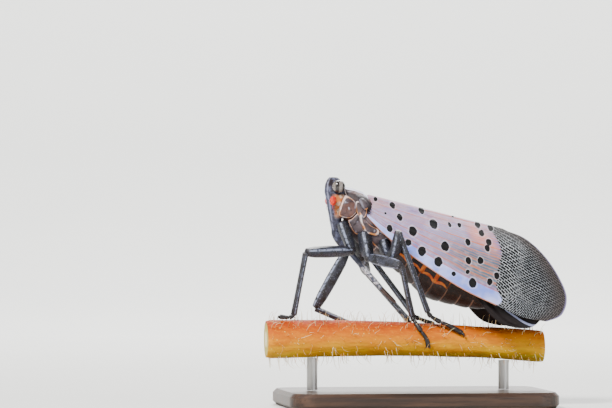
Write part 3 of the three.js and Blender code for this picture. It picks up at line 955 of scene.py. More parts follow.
# %% Abdomen finish
belly = Paint("abdomen")
patchy = belly.noise(1.5, 4)
grit = belly.noise(10.0, 3)
plates = belly.mix(belly.mark("back").rise(0.1, 0.8), tint("1b1616"), tint("211009"))
plates = belly.mix(patchy.rise(0.4, 0.75) * 0.6, plates, tint("3b2d29"))
plates = belly.mix(belly.noise(4.0, 3).rise(0.55, 0.7) * 0.5, plates, tint("5a3522"))
plates = belly.mix((belly.cells(3.2).rise(0.2, 0.1)) * 0.4, plates, tint("120d0b"))
orange_skin = belly.mix(patchy.rise(0.35, 0.65), tint("b8430c"), tint("dd7a26"))
skin_edge = belly.mark("orange") + (belly.noise(2.4, 3) - 0.5) * 0.5
surface = belly.mix(skin_edge.rise(0.45, 0.75), plates, orange_skin)
surface = belly.mix(belly.mark("pale").rise(0.45, 0.9) * 0.7, surface, tint("98705c"))
belly_look = belly.finish(surface, 0.38 + patchy * 0.2, patchy * 0.5 + grit * 0.6, 0.12)
rings = [f"abdomen_{number}" for number in range(1, 7)]
hand_over(abdomen, belly_look, "abdomen_brown", *rings, "abdomen_tip")

# %% [markdown]
# The chest is a set of shell plates: a collar behind the head with a rounded lobe on each side, then a
# large side plate above the middle leg, then a smaller one with a lifted pale rim above the hind leg.
# Each is bent from its own sheet and stands a little proud of the drum, so that real edges catch the
# light where the photo shows its pale seams.

# %% Chest core
CHEST_START = -2.4
CHEST_END = 3.9
CHEST_UNDER_ROOF = 0.75


def chest_rule(turn, share):
    length, closing = ends(share, END_SHARE)
    along = lerp(CHEST_START, CHEST_END, length)
    angle = 2 * math.pi * turn
    seam = math.exp(-((along - 1.93) / 0.09) ** 2) + math.exp(-((along + 1.02) / 0.1) ** 2)
    grown = 0.93 - 0.03 * seam + 0.012 * noise.noise(Vector((along * 2, angle * 3, 4)))
    place = ring_place(along, angle, grown * closing)
    place.z = min(place.z, ridge(place.x) - CHEST_UNDER_ROOF)
    return place, {"seam": clamp(seam), "rim": 0.0, "dust": 0.0}


chest = [sheet("chest_core", 72, 64, chest_rule)]
print("chest core", len(chest[0].data.polygons), "faces")

# %% [markdown]
# A side plate's outline is a list of corners in side view that a smooth closed curve runs through.
# Each is turned to how far along the body it lies and how high above its axis. The sheet swells
# towards its middle, and the mark on its rim gets the pale orange seam.

# %% Side plates
OUTER_SHARE = 0.6


def side_plate(name, side, outline, swell, lift, rim_width=0.16, front_rim=0.0):
    """A shell plate bent over the flank, with its pale rim that wide, and wider still in front.

    outline: a closed row of places, each how far along the body and how high above its axis.
    """
    count = len(outline)
    middle = sum((Vector(point) for point in outline), Vector((0, 0))) / count
    loop = [outline[-1], *outline, outline[0], outline[1]]

    def edge(turn):
        return spline(loop, (1 + turn * count) / (count + 2))

    def rule(turn, share):
        outer = share <= OUTER_SHARE
        ratio = share / OUTER_SHARE if outer else (1 - share) / (1 - OUTER_SHARE)
        flat = middle.lerp(edge(turn), ratio)
        along, above = flat
        width, rise, depth = between(TRUNK, max(along, -2.3))
        tall = rise + 0.3 if above > 0 else max(depth, 2.0)
        reach = math.sqrt(max(0.03, 1 - clamp(above / tall, -1, 1) ** 2))
        dome = math.sqrt(max(0.0, 1 - ratio**2.6))
        bumps = 0.02 * noise.noise(Vector((along * 2.2, above * 2.2, swell * 30)))
        out = lift + swell * dome + bumps if outer else -0.1
        if ratio >= 0.999:
            out = lift * 0.4
        y = width * (0.9 * reach + 0.06) + out
        place = trunk_place(along, side * y, above)
        ahead = step(0.2, 0.9, (middle.x - along) / 1.1) * front_rim
        rim = step(1 - (rim_width + ahead) * 1.7, 1 - rim_width * 0.5 - ahead, ratio) if outer else 0.0
        dust = noise.noise(Vector((along * 3, above * 3, 1))) + 0.5
        return place, {"seam": 0.0, "rim": rim, "dust": dust}

    return sheet(name, 40, 20, rule)


def body_flat(x, z):
    """A place in side view, as how far along the body it is and how high above its axis."""
    dx = x - TRUNK_START.x
    dz = z - TRUNK_START.z
    return (
        dx * math.cos(TILT) - dz * math.sin(TILT),
        dx * math.sin(TILT) + dz * math.cos(TILT),
    )


def plate_outline(*places):
    return [body_flat(x, z) for x, z in places]


LOBE = plate_outline(
    (-6.61, 19.55), (-5.95, 19.12), (-5.72, 18.62), (-5.72, 18.07), (-6.1, 17.6),
    (-6.5, 17.41), (-7.22, 17.58), (-7.39, 17.86), (-7.22, 18.73), (-6.89, 19.44),
)
SHOULDER = plate_outline(
    (-5.75, 19.0), (-5.2, 18.95), (-4.75, 18.4), (-4.85, 17.7), (-5.2, 17.4), (-5.6, 17.6), (-5.75, 18.3),
)
SIDE_PLATE = plate_outline(
    (-6.21, 17.41), (-5.66, 17.91), (-5.49, 17.52), (-5.38, 17.08), (-5.1, 16.43),
    (-5.15, 15.99), (-5.66, 15.93), (-5.99, 16.2), (-6.32, 16.75), (-6.49, 17.25),
)
BACK_PLATE = plate_outline(
    (-5.5, 18.1), (-5.01, 17.31), (-4.45, 16.75), (-3.79, 16.43), (-3.62, 16.1),
    (-3.89, 15.82), (-4.45, 15.93), (-4.9, 16.1), (-5.17, 16.65), (-5.45, 17.31),
)
UNDER_PLATE = plate_outline(
    (-4.55, 16.5), (-3.6, 16.3), (-2.7, 15.7), (-2.2, 14.9),
    (-2.6, 14.3), (-3.5, 14.5), (-4.3, 15.2), (-4.75, 15.9),
)
for _, side in SIDES:
    chest.append(side_plate("under_plate", side, UNDER_PLATE, 0.1, -0.05))
    chest.append(side_plate("lobe", side, LOBE, 0.3, 0.2, rim_width=0.1, front_rim=0.16))
    chest.append(side_plate("shoulder", side, SHOULDER, 0.14, 0.06))
    chest.append(side_plate("side_plate", side, SIDE_PLATE, 0.2, 0.1, rim_width=0.1))
    chest.append(side_plate("back_plate", side, BACK_PLATE, 0.16, 0.16, rim_width=0.24))
thorax = join("thorax", chest)
print("side plates", len(chest) - 1)


# %% [markdown]
# The collar's top and the shield behind it close the gap between the head and the wings. The collar
# has raised keels along its back, pale wax with a painted highlight on its top and dark lower sides.
# Both are saddles, the same bent sheet with other widths, so one rule makes them.

# %% Collar
SADDLE_END = 0.02
SADDLE_THICK = 0.28


def saddle(name, first, last, tops, halves, droop):
    """A roof-shaped plate across the back: its top line, its half widths and how far its sides fall."""

    def rule(turn, share):
        length, closing = ends(share, SADDLE_END)
        outer = turn <= 0.5
        sweep = (turn * 4 - 1) if outer else (3 - turn * 4)
        edge = abs(sweep)
        keel = 0.09 * math.exp(-((edge / 0.09) ** 2)) + 0.05 * math.exp(-(((edge - 0.42) / 0.05) ** 2))
        keel += 0.03 * noise.noise(Vector((length * 4, edge * 4, 2)))
        half = spread(halves, length)
        top = spread(tops, length)
        thick = (keel if outer else -SADDLE_THICK) * closing * step(0, 0.06, 1 - edge)
        round_off = 1 - math.sqrt(1 - 0.98 * edge * edge)
        z = top - droop * round_off - 0.12 * edge + thick
        x = lerp(first, last, length) + 0.25 * edge * edge
        rim = step(0.1, 0.03, share) if outer else 0.0
        # The pale peak along the saddle's top is wax and a painted highlight.
        dust = 2.2 * math.exp(-((edge / 0.5) ** 2)) + 0.7 * noise.noise(Vector((x * 2, edge * 6, 0)))
        dust -= 0.9 * step(0.6, 0.72, edge)
        return (x, sweep * half, z), {"seam": 0.0, "rim": rim, "dust": dust}

    return sheet(name, 110, 44, rule)


collar = saddle("collar", -6.75, -4.75, [20.3, 20.1, 19.72], [1.05, 1.75, 1.95], 1.35)
back_shield = saddle("back_shield", -5.15, -3.1, [19.72, 19.3, 18.75], [1.9, 1.25, 0.5], 1.5)
print("collar and shield made")

# %% [markdown]
# All the shell plates of the chest share one finish: grey brown and smoky, with darker blotches and a
# pale orange rim. The marks that the plates carry say where the rim and the seams run, where wax and
# a painted highlight lie and where the shell is darkest.

# %% Chest finish
shell = Paint("chest_shell")
smoke = shell.noise(1.1, 4)
pits = shell.noise(12.0, 2)
skin = shell.mix(smoke.rise(0.3, 0.7), tint("2f282c"), tint("564a50"))
skin = shell.mix(shell.noise(0.6, 2).rise(0.45, 0.7) * 0.6, skin, tint("71432f"))
skin = shell.mix(shell.noise(3.2, 3).rise(0.55, 0.72) * 0.7, skin, tint("161012"))
skin = shell.mix(shell.mark("dust").rise(-0.1, -0.6) * 0.7, skin, tint("120e11"))
# The pale colour is wax, and on the tops of the collar and shield it is also a painted highlight.
wax_and_highlight = (shell.mark("dust").rise(0.75, 1.4)) * 0.8
skin = shell.mix(wax_and_highlight, skin, tint("c9cbe2"))
seam_line = shell.mark("seam").rise(0.4, 0.9).biggest(shell.mark("rim").rise(0.25, 0.8))
rim_colour = shell.mix(shell.noise(1.4, 2).rise(0.4, 0.6), tint("dd9152"), tint("dfd0d0"))
skin = shell.mix(seam_line * 0.85, skin, rim_colour)
shell_look = shell.finish(skin, 0.42 + smoke * 0.22, smoke * 0.5 + pits * 0.4, 0.08, glint=0.3)
hand_over(thorax, shell_look, "thorax_plate", "mesothorax", "metathorax")
hand_over(join("collar", [collar, back_shield]), shell_look, "thorax_plate", "pronotum")

# %% [markdown]
# The tegula is the small cap over the wing's hinge. It is a rounded scale, tilted back.

# %% Wing caps
def cap_marks(turn, share):
    return {"seam": 0.0, "rim": step(0.8, 0.95, share), "dust": 0.6 + 0.4 * math.sin(turn * 12)}


for hand, side in SIDES:
    cap = tube(
        f"tegula.{hand}",
        [(-5.4, side * 1.8, 19.2), (-5.1, side * 2.2, 18.8), (-4.85, side * 2.3, 18.25)],
        [0.2, 0.32, 0.34, 0.16],
        sides=20,
        steps=18,
        up=(1, 0, 0),
        blunt=0.3,
        marks=cap_marks,
    )
    hand_over(cap, shell_look, "thorax_plate", f"tegula_{hand}")

# %% [markdown]
# The head is tall and narrow, like a folded visor: a long flat face in front with five fine keels, a
# short crown that turns back over it, and cheeks that spread towards the neck. It is a tube stood on
# end whose section changes with height. The keels and the sockets of the eyes and feelers are pushed
# into the same sheet, so the shell stays one piece.

# %% Head shell
FACE = [
    (16.3, -7.65, 0.66), (17.2, -7.86, 0.8), (18.2, -8.05, 0.86), (19.1, -8.2, 0.78),
    (19.9, -8.36, 0.62), (20.6, -8.3, 0.45), (21.0, -8.12, 0.36), (21.25, -7.9, 0.3),
]
KEELS = ((0.0, 0.09, 0.1), (0.62, 0.13, 0.12), (0.3, 0.05, 0.07))
HEAD_END = 0.03
HEAD_LOW = 16.32
HEAD_HIGH = 21.25
EYE_PLACE = Vector((-7.3, 1.3, 20.38))
EYE_SIZE = Vector((0.6, 0.42, 0.58))
BULB_PLACE = Vector((-7.86, 1.5, 19.05))


def socket(place, centre, radius, depth):
    """How deep a point lies in a shallow pit round centre, on either side of the head."""
    away = (Vector((place.x, abs(place.y), place.z)) - centre).length
    return depth * step(radius, radius * 0.5, away)


def angle_off(angle, centre):
    """How far an angle is from the front's middle, measured from centre on either side."""
    folded = abs(angle if angle <= math.pi else 2 * math.pi - angle)
    return folded - centre


def head_rule(turn, share):
    length, closing = ends(share, HEAD_END)
    height = lerp(HEAD_LOW, HEAD_HIGH, length)
    front, face_half = between(FACE, height)
    low = clamp((height - 16.3) / 2.6)
    high = clamp((HEAD_HIGH - height) / 0.9) ** 0.5
    depth = lerp(0.55, 1.7, low) * lerp(0.25, 1, high)
    back_half = lerp(0.75, 1.28, low) * lerp(0.4, 1, high)
    angle = 2 * math.pi * turn
    forward = (1 - math.cos(angle)) / 2
    across = math.sin(angle)
    square = math.copysign(abs(across) ** 0.62, across)
    half = lerp(face_half, back_half, math.sin(forward * math.pi / 2))
    keel = sum(tall * math.exp(-((angle_off(angle, at) / wide) ** 2)) for at, tall, wide in KEELS)
    x = front + depth * forward - keel * (1 - forward)
    y = square * half * closing
    bulge = 0.05 * noise.noise(Vector((x * 1.8, abs(y) * 2, height * 1.5)))
    point = Vector((lerp(front + depth / 2, x, closing), y * (1 + bulge), height))
    sunk = socket(point, EYE_PLACE, 0.85, 0.3) + socket(point, BULB_PLACE, 0.5, 0.18)
    point.y -= math.copysign(min(sunk, abs(point.y) * 0.8), point.y)
    keeled = clamp(keel / 0.1) * step(0.35, 0.1, forward)
    cheek = step(0.2, 0.42, forward) * step(19.75, 19.45, height) * step(17.3, 18.0, height)
    return point, {"keel": keeled, "cheek": cheek, "high": (height - HEAD_LOW) / (HEAD_HIGH - HEAD_LOW)}


head = sheet("head_shell", 140, 120, head_rule)
print("head shell", len(head.data.polygons), "faces")

# %% [markdown]
# The face is slate grey with a bluish bloom, darker on the crown and paler on its keels. The cheek
# under the eye is soft skin, orange with cream patches, and its mark keeps it off the hard shell.

# %% Head finish
visor = Paint("face")
dusty = visor.noise(2.2, 4)
tiny = visor.noise(14.0, 2)
tone = visor.mix(visor.mark("high").rise(0.68, 0.85), tint("2d2e3d"), tint("1a1018"))
tone = visor.mix(dusty.rise(0.45, 0.7) * 0.5, tone, tint("757a9a"))
cheek_colour = visor.mix(visor.noise(1.8, 3).rise(0.4, 0.6), tint("c96f2a"), tint("e6c7a6"))
tone = visor.mix(visor.mark("cheek") * 0.85, tone, cheek_colour)
tone = visor.mix(visor.mark("keel").rise(0.3, 0.9) * 0.5, tone, tint("9699b8"))
tone = visor.mix(visor.noise(3.0, 3).rise(0.55, 0.7) * 0.7, tone, tint("1b1318"))
face_look = visor.finish(tone, 0.42 + dusty * 0.25, dusty * 0.6 + tiny * 0.4, 0.07, glint=0.3)
hand_over(head, face_look, "face_grey", "head")

# %% [markdown]
# A compound eye is a dome of hundreds of tiny facets. The dome is an egg sunk into its socket. The
# facets are a fine cell pattern in the finish, since each is under a tenth of a millimetre; bands of
# grey and brown run round it and a clear coat gives the wet highlight.

# %% Eyes
def egg_rule(centre, size, side, wave=None):
    """The rule for an egg at centre, mirrored by side; wave(out) swells it."""

    def rule(turn, share):
        polar = math.pi * share
        angle = 2 * math.pi * turn
        wide = math.sin(polar)
        out = Vector((math.cos(angle) * wide, math.sin(angle) * wide, math.cos(polar)))
        grown = 1 + (wave(out) if wave else 0)
        place = Vector((out.x * size[0], out.y * size[1], out.z * size[2])) * grown
        return Vector((centre.x, side * centre.y, centre.z)) + place, {}

    return rule


dome = Paint("eye")
facets = dome.cells(17.0, "DISTANCE_TO_EDGE")
bands = dome.node(
    "ShaderNodeTexWave",
    {},
    {"Vector": dome.place, "Scale": 0.42, "Distortion": 3.0, "Detail": 2.0},
    "Fac",
)
eye_colour = dome.mix(bands.rise(0.2, 0.8), tint("1d1715"), tint("857b74"))
eye_colour = dome.mix(dome.noise(3.0).rise(0.5, 0.75) * 0.6, eye_colour, tint("1c1516"))
eye_colour = dome.mix(facets.rise(0.1, 0.02) * 0.5, eye_colour, tint("171212"))
eye_look = dome.finish(eye_colour, 0.16, facets.rise(0.0, 0.3), 0.012, 0.8)
for hand, side in SIDES:
    eye = sheet(f"eye.{hand}", 48, 32, egg_rule(EYE_PLACE, EYE_SIZE, side))
    hand_over(eye, eye_look, "eye", f"eye_{hand}")

# %% [markdown]
# Below each eye sits the feeler: a fat orange bulb, pebbled with sense organs, on a short collar, with a
# thread as thin as a hair at its end. The pebbles are in the mesh as well as the finish.

# %% Feelers
PEBBLE_HEIGHT = 0.07
PEBBLE_COUNT = 4.6
BULB_SIZE = (0.31, 0.34, 0.43)


def pebble(out):
    nearest = noise.voronoi(out * PEBBLE_COUNT)[0][0]
    return PEBBLE_HEIGHT * (0.5 - nearest)


glow = Paint("feeler")
knobs = glow.cells(5.5)
warmth = glow.mix(knobs.rise(0.1, 0.6), tint("ff3d00"), tint("b51a00"))
feeler_look = glow.finish(warmth, 0.42, 1 - knobs, 0.05, 0.15)
for hand, side in SIDES:
    bulb = sheet(f"bulb.{hand}", 44, 30, egg_rule(BULB_PLACE, BULB_SIZE, side, pebble))
    stalk = tube(
        "stalk",
        [(-7.7, side * 1.0, 19.3), (-7.82, side * 1.3, 19.15)],
        [0.24, 0.2],
        sides=14,
        steps=8,
        blunt=0.2,
    )
    thread = tube(
        "thread",
        [
            (-7.9, side * 1.7, 18.75),
            (-7.95, side * 1.9, 18.5),
            (-7.95, side * 2.15, 18.3),
            (-7.85, side * 2.4, 18.2),
        ],
        [0.05, 0.02, 0.014, 0.008],
        sides=6,
        steps=12,
    )
    feeler = join(f"feeler.{hand}", [bulb, stalk, thread])
    hand_over(feeler, feeler_look, "antenna_orange", f"antenna_{hand}")

# %% [markdown]
# The beak is a four-sided trough that lies back between the legs. Its first part hangs from the shield
# below the face; the last joint is thinner and dark. White wax dusts its middle.

# %% Beak
def trough(turn, share):
    """A section with four soft corners and a groove along one side."""
    return 0.93 + 0.1 * math.cos(4 * math.pi * turn) ** 2 - 0.12 * math.exp(-(((turn - 0.25) / 0.04) ** 2))


shield = tube(
    "shield",
    [(-7.12, 0, 16.75), (-7.22, 0, 16.1), (-6.95, 0, 15.45), (-6.5, 0, 14.85), (-6.1, 0, 14.35)],
    [0.62, 0.56, 0.5, 0.42, 0.3],
    sides=28,
    steps=30,
    up=(0, 1, 0),
    form=trough,
)
upper_beak = tube(
    "beak",
    [(-6.3, 0, 14.55), (-5.0, 0, 13.08), (-4.0, 0, 11.95), (-3.06, 0, 10.86)],
    [0.24, 0.24, 0.22, 0.21],
    sides=24,
    steps=40,
    up=(0, 1, 0),
    form=trough,
)
lower_beak = tube(
    "beak_end",
    [(-3.14, 0, 10.95), (-2.4, 0, 10.2), (-1.75, 0, 9.62)],
    [0.19, 0.2, 0.18, 0.1],
    sides=24,
    steps=20,
    up=(0, 1, 0),
    form=trough,
)
print("beak made in three parts")

# %% [markdown]
# The beak's first long joint is grey with white wax on its middle, and its tip is bare brown horn. The
# mark of how far along each part a point lies keeps the wax off both ends.

# %% Beak finish
waxy = Paint("beak")
reach = waxy.mark("reach")
dust = waxy.noise(3.5, 4).rise(0.42, 0.6) * reach.rise(0.25, 0.45) * reach.rise(0.98, 0.8)
stain = waxy.mix(waxy.noise(1.8, 3), tint("24252e"), tint("5a5f76"))
stain = waxy.mix(dust * 0.9, stain, tint("e8e6ee"))
beak_look = waxy.finish(stain, 0.5, waxy.noise(8.0, 3), 0.05)
horn = Paint("horn")
horn_colour = horn.mix(horn.noise(2.5, 3), tint("2b2224"), tint("5a4640"))
horn_look = horn.finish(horn_colour, 0.38, horn.noise(9.0, 3), 0.03, 0.1)
hand_over(shield, face_look, "face_grey", "clypeus")
hand_over(upper_beak, beak_look, "leg_grey", "beak_base")
hand_over(lower_beak, horn_look, "leg_dark", "beak_tip")

# %% [markdown]
# Each leg is a chain: a flat cone at the hip, a stout ridged thigh, a thin four-edged shin, and a foot
# of three joints with two claws. The table gives each leg its own stance: where its knee, its ankle and
# its toes are. Hips and thighs have the same thickness on both sides, so they come by pair, and all
# six shins are alike.

# %% Leg table
COXAE = {
    "fore": ((-7.1, -1.35, 17.2), (-6.1, -1.4, 14.45), (0.42, 0.56, 0.5, 0.34)),
    "mid": ((-5.1, -1.85, 16.3), (-4.65, -2.1, 13.8), (0.5, 0.62, 0.6, 0.4)),
    "hind": ((-3.2, -1.75, 15.55), (-2.8, -1.85, 13.9), (0.6, 0.68, 0.6, 0.4)),
}
LEGS = {
    "fore_left": {
        "bow": [],
        "knee": (-10.74, -4.0, 14.35),
        "ankle": (-11.4, -0.6, 8.5),
        "toes": [(-11.75, -0.5, 8.3), (-12.7, -0.35, 8.36)],
    },
    "fore_right": {
        "bow": [],
        "knee": (-8.99, 2.4, 9.05),
        "ankle": (-4.35, 2.25, 7.0),
        "toes": [(-4.0, 2.2, 6.8), (-2.75, 2.05, 6.3)],
    },
    "mid_left": {
        "bow": [],
        "knee": (-2.1, -5.4, 13.15),
        "ankle": (-0.45, -1.35, 8.4),
        "toes": [(-0.3, -1.5, 8.0), (0.3, -1.85, 7.05), (0.85, -1.95, 6.2), (0.95, -1.85, 5.6)],
    },
    "mid_right": {
        "bow": [],
        "knee": (-3.6, 5.4, 12.25),
        "ankle": (-0.35, 1.5, 7.95),
        "toes": [(-0.1, 1.65, 7.55), (0.6, 1.9, 6.9), (1.4, 1.95, 6.3)],
    },
    "hind_left": {
        "bow": [(-2.55, -4.2, 14.35)],
        "knee": (-2.45, -5.85, 16.25),
        "ankle": (1.05, -1.25, 8.75),
        "toes": [(1.35, -1.25, 8.35), (2.2, -1.3, 7.85), (3.2, -1.5, 7.4), (4.3, -1.6, 6.75)],
    },
    "hind_right": {
        "bow": [],
        "knee": (-4.0, 5.6, 14.75),
        "ankle": (-0.15, 0.95, 8.75),
        "toes": [(0.2, 1.0, 8.3), (1.0, 1.15, 7.95), (2.1, 1.35, 7.55)],
    },
}
THIGH = {
    "fore": [0.3, 0.5, 0.54, 0.5, 0.34],
    "mid": [0.28, 0.46, 0.5, 0.46, 0.32],
    "hind": [0.3, 0.46, 0.5, 0.46, 0.34],
}
SHIN = [0.27, 0.25, 0.25, 0.28]
KNOB_SIZE = Vector((0.42, 0.42, 0.42))
print("legs in the table:", list(LEGS))

# %% [markdown]
# A thigh has three soft edges and a shin four, so a limb is the same tube with another number of
# corners in its section. The mark on the corners lets the paint put a painted highlight along them.

# %% Limbs


def edged(corners, depth):
    """A section with that many soft corners."""

    def form(turn, share):
        return 1 - depth + depth * abs(math.cos(math.pi * corners * turn)) ** 1.5 * 2

    return form


def edge_mark(corners):
    def marks(turn, share):
        return {"corner": abs(math.cos(math.pi * corners * turn))}

    return marks


def limb(name, points, radii, corners, depth, steps=40, blunt=0.06):
    return tube(
        name,
        points,
        radii,
        sides=30,
        steps=steps,
        up=(0, 0.3, 1),
        blunt=blunt,
        form=edged(corners, depth),
        marks=edge_mark(corners),
    )


def spine(root, tip, radius):
    radii = [radius, radius * 0.5, radius * 0.1]
    return tube("spine", [root, tip], radii, sides=6, steps=6, marks=edge_mark(2))


# %% [markdown]
# A hip isn't a corner in a pipe: its cone ends in a knob, and the thigh hangs from that. The knob is a
# ball at the joint, darker than the rest. A hind shin has a row of five spines, and every shin ends in
# a ring of four short ones.

# %% Leg parts
SPINE_COUNT = 5
SPINE_FIRST = 0.22
SPINE_GAP = 0.16
SPINE_RADIUS = 0.1
RING_COUNT = 4
RING_TURN = 0.4
RING_BACK = 0.35
RING_OUT = 0.16
RING_SPINE_RADIUS = 0.07


def knob(hip):
    ball = egg_rule(hip, KNOB_SIZE, 1)

    def rule(turn, share):
        return ball(turn, share)[0], {"reach": 0.02, "corner": 0.3}

    return sheet("knob", 16, 12, rule)


def shin_spines(knee, ankle, side):
    """A row of spines down the outer side of a shin."""
    outward = Vector((0.5, side, 0.1)).normalized()
    shaft = (ankle - knee).normalized()
    made = []
    for number in range(SPINE_COUNT):
        start = knee.lerp(ankle, SPINE_FIRST + SPINE_GAP * number)
        made.append(spine(start, start + outward * 0.55 + shaft * 0.35, SPINE_RADIUS))
    return made


def ankle_spines(knee, ankle):
    """A ring of short spines at a shin's end."""
    shaft = (ankle - knee).normalized()
    across = shaft.cross(Vector((0, 0, 1))).normalized()
    other = shaft.cross(across)
    made = []
    for number in range(RING_COUNT):
        turn = 2 * math.pi * number / RING_COUNT + RING_TURN
        way = across * math.cos(turn) + other * math.sin(turn)
        start = ankle - shaft * RING_BACK + way * RING_OUT
        made.append(spine(start, start + way * 0.16 + shaft * 0.4, RING_SPINE_RADIUS))
    return made


# %% [markdown]
# The six legs differ only in their table rows, so one loop makes them. Hip, thigh, shin, knob and
# spines are joined, because a still leg is one piece with one finish.

# %% Legs
leg_pieces = {}
for leg, row in LEGS.items():
    pair, hand = leg.split("_")
    side = dict(SIDES)[hand]
    root, hip, coxa_radii = COXAE[pair]
    root = Vector((root[0], root[1] * -side, root[2]))
    hip = Vector((hip[0], hip[1] * -side, hip[2]))
    knee = Vector(row["knee"])
    ankle = Vector(row["ankle"])
    parts = [
        limb("coxa", [root, hip], coxa_radii, 3, 0.09, 24, 0.12),
        limb("thigh", [hip, *[Vector(point) for point in row["bow"]], knee], THIGH[pair], 3, 0.1),
        limb("shin", [knee, knee.lerp(ankle, 0.5), ankle], SHIN, 4, 0.1, 48, 0.03),
        knob(hip),
    ]
    if pair == "hind":
        parts += shin_spines(knee, ankle, side)
    parts += ankle_spines(knee, ankle)
    leg_pieces[leg] = join(f"leg.{leg}", parts)
print("legs", len(leg_pieces))

# %% [markdown]
# Legs are blue grey and darker at both ends of each joint, with a painted highlight along their edges.
# Because each part carries how far along it a point lies and how near a corner, one finish paints all six.

# %% Leg finish
limb_paint = Paint("leg")
reach = limb_paint.mark("reach")
corner = limb_paint.mark("corner")
haze = limb_paint.noise(1.6, 4)
specks = limb_paint.noise(9.0, 3)
streaks = limb_paint.noise(4.0, 3)
leg_colour = limb_paint.mix(haze.rise(0.35, 0.65), tint("0f0f13"), tint("2b2d3a"))
leg_colour = limb_paint.mix(streaks.rise(0.5, 0.7) * 0.6, leg_colour, tint("0c0a0d"))
joints = abs(reach - 0.5).rise(0.4, 0.48)
leg_colour = limb_paint.mix(joints * 0.8, leg_colour, tint("1a1517"))
# The pale lines along the corners are a painted highlight.
edge_highlight = corner.rise(0.93, 0.99) * streaks.rise(0.35, 0.55) * (1 - joints)
leg_colour = limb_paint.mix(edge_highlight * 0.8, leg_colour, tint("9aa3c0"))
leg_colour = limb_paint.mix(specks.rise(0.6, 0.72) * 0.4, leg_colour, tint("aeb2c6"))
leg_relief = specks * 0.5 + streaks * 0.6 + haze * 0.4
leg_look = limb_paint.finish(leg_colour, 0.3 + haze * 0.2, leg_relief, 0.13, glint=0.5)

black = Paint("foot")
black_colour = black.mix(black.noise(2.4, 3), tint("0f0d0e"), tint("2b2627"))
foot_look = black.finish(black_colour, 0.36, black.noise(8.0, 3), 0.04, 0.1)

for leg, piece in leg_pieces.items():
    nodes = [f"{part}_{leg}" for part in ("coxa", "femur", "tibia")]
    hand_over(piece, leg_look, "leg_grey", *nodes)

# %% [markdown]
# A foot has three joints, each a small wedge that widens to its end, and the last one ends in a soft
# pad between two curved claws that hook over the bark.

# %% Feet
FOOT_JOINTS = (0.0, 0.26, 0.52, 1.0)
FOOT_LAP = 0.02
TOE_RADII = [0.16, 0.19, 0.23, 0.24]
CLAW_RADII = [0.08, 0.07, 0.045, 0.012]
PAD_RADII = [0.13, 0.16, 0.12]
CLAW_UP = (0.2, 1, 0.3)


def foot(leg, ankle, toes):
    """Three wedges along the line from the ankle, two claws and a pad. Each wedge laps the last one."""
    line = [ankle, *[Vector(point) for point in toes]]
    parts = []
    for first, last in zip(FOOT_JOINTS, FOOT_JOINTS[1:]):
        shares = [lerp(first, last, k / 3) for k in range(4)]
        if first > 0:
            shares[0] -= FOOT_LAP
        wedge = [spline(line, share) for share in shares]
        parts.append(tube("toe", wedge, TOE_RADII, sides=16, steps=16, up=(0.1, 1, 0.2), blunt=0.14))
    tip = line[-1]
    ahead = (line[-1] - line[-2]).normalized()
    across = ahead.cross(Vector((0, 0, 1))).normalized()
    below = ahead.cross(across).normalized()
    if below.z > 0:
        below = -below
    for way in (-1, 1):
        root = tip - ahead * 0.12 + across * 0.09 * way
        mid = root + ahead * 0.22 + across * 0.14 * way
        end = mid + ahead * 0.08 + below * 0.26 + across * 0.04 * way
        parts.append(tube("claw", [root, mid, end], CLAW_RADII, sides=10, steps=14, up=CLAW_UP))
    pad_line = [tip - ahead * 0.1, tip + ahead * 0.12 + below * 0.06]
    parts.append(tube("pad", pad_line, PAD_RADII, sides=14, steps=10, up=CLAW_UP, blunt=0.3))
    return join(f"foot.{leg}", parts)


for leg, row in LEGS.items():
    piece = foot(leg, Vector(row["ankle"]), row["toes"])
    hand_over(piece, foot_look, "leg_dark", f"tarsus_{leg}")

# %% [markdown]
# The stand is the display's own and stays quiet: a dark wooden base with soft edges and two thin steel
# rods that hold the stem. The CAD shapes are right, so those three nodes stay as they are and only get
# a finish each: wood grain that runs along the base, and steel brushed along the rods.

# %% Stand finish
wood = Paint("stand_wood")
lines = wood.noise(1.0, 5, wood.stretched((0.12, 1.6, 1.6)))
pores = wood.noise(5.0, 3, wood.stretched((0.1, 1.5, 1.5)))
board = wood.mix(lines.rise(0.3, 0.7), tint("2a1d16"), tint("4a3325"))
board = wood.mix(pores.rise(0.58, 0.7) * 0.6, board, tint("150d09"))
wood_look = wood.finish(board, 0.38 + lines * 0.15, lines * 0.3 - pores * 0.5, 0.04, 0.15)
steel = Paint("stand_metal")
brushed = steel.noise(2.0, 3, steel.stretched((6, 6, 0.4)))
steel_colour = steel.mix(brushed, tint("9a9896"), tint("c3c1be"))
steel_look = steel.finish(steel_colour, 0.26 + brushed * 0.2, brushed, 0.01, metallic=1.0)
STAND_LOOKS = {"stand_base": wood_look, "stand_rod_front": steel_look, "stand_rod_back": steel_look}
for name, look in STAND_LOOKS.items():
    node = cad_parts[name]
    if not node.material_slots:
        node.data.materials.append(look)
    for node_slot in node.material_slots:
        node_slot.material = look
    print(name, "finished")

# %% [markdown]
# The studio is a plain pale floor that curves up behind, four soft lamps and a dim even sky. The main
# lamp stands high on the left in front, as daylight falls in the photo. The second fills the shade
# under the wings, the third draws a thin edge along the ridge, and the last lights the paper behind.

# %% Studio
FLOOR_HALF = 1400
FLOOR_FRONT = -900
FLOOR_BACK = 800
SWEEP_START = 260
SWEEP_RISE = 420
QUARTER = math.pi / 2


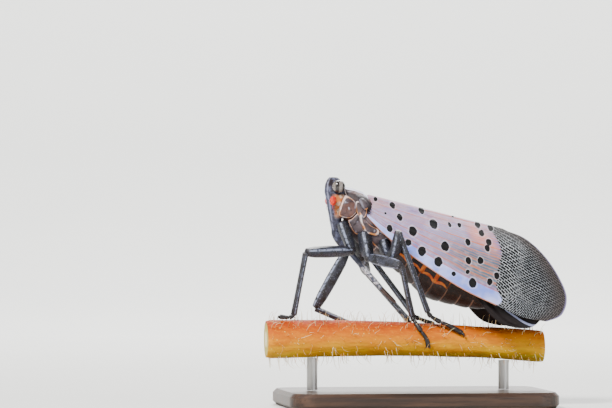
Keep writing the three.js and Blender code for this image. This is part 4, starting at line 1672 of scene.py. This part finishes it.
def floor_rule(across, along):
    """Flat as far as the sweep's start, a quarter circle up, and then straight up."""
    x = lerp(-FLOOR_HALF, FLOOR_HALF, across)
    reach = lerp(FLOOR_FRONT, FLOOR_BACK, along)
    bend = max(0, reach - SWEEP_START)
    turned = min(bend / SWEEP_RISE, QUARTER)
    z = SWEEP_RISE * (1 - math.cos(turned)) + max(0, bend - SWEEP_RISE * QUARTER)
    y = min(reach, SWEEP_START) + SWEEP_RISE * math.sin(turned)
    spot = VIEW_RIGHT * x - VIEW_BACK * y
    return (spot.x, spot.y, z), {}


floor = sheet("floor", 12, 60, floor_rule, closed=False)
for panel in floor.data.polygons:
    panel.use_smooth = True
backdrop = Paint("paper")
paper = backdrop.mix(backdrop.noise(0.02), tint("dcdcd8"), tint("d3d4d1"))
floor.data.materials.append(backdrop.finish(paper, 0.85))

print("floor", FLOOR_HALF * 2, "mm wide")

# %% [markdown]
# The lamps are disks, because a small hard lamp would leave sharp glints on every plate. Each is told
# where it stands, how wide it is, its watts and what it looks at. At this size a few watts are plenty.

# %% Lamps
INSECT = Vector((0, 0, 13)) * MM
BACKDROP_SPOT = Vector((100, 640, 60)) * MM
SKY_COLOUR = (0.82, 0.86, 0.9, 1)
SKY_STRENGTH = 0.34


def lamp(name, place, size, watts, colour, aim=INSECT):
    light = bpy.data.lights.new(name, "AREA")
    light.shape = "DISK"
    light.size = size * MM
    light.energy = watts
    light.color = colour
    holder = bpy.data.objects.new(name, light)
    bpy.context.scene.collection.objects.link(holder)
    holder.location = Vector(place) * MM
    holder.rotation_euler = (aim - holder.location).to_track_quat("-Z", "Y").to_euler()


lamp("key", (-170, -230, 260), 110, 2.9, (1.0, 0.97, 0.93))
lamp("fill", (240, -260, 90), 260, 0.55, (0.93, 0.96, 1.0))
lamp("rim", (60, 240, 220), 160, 1.1, (1.0, 1.0, 1.0))
lamp("paper", (60, 420, 520), 500, 9, (1.0, 1.0, 1.0), BACKDROP_SPOT)
world = bpy.data.worlds.new("sky")
world.use_nodes = True
background = world.node_tree.nodes["Background"]
background.inputs["Color"].default_value = SKY_COLOUR
background.inputs["Strength"].default_value = SKY_STRENGTH
bpy.context.scene.world = world
print("four lamps and a sky")
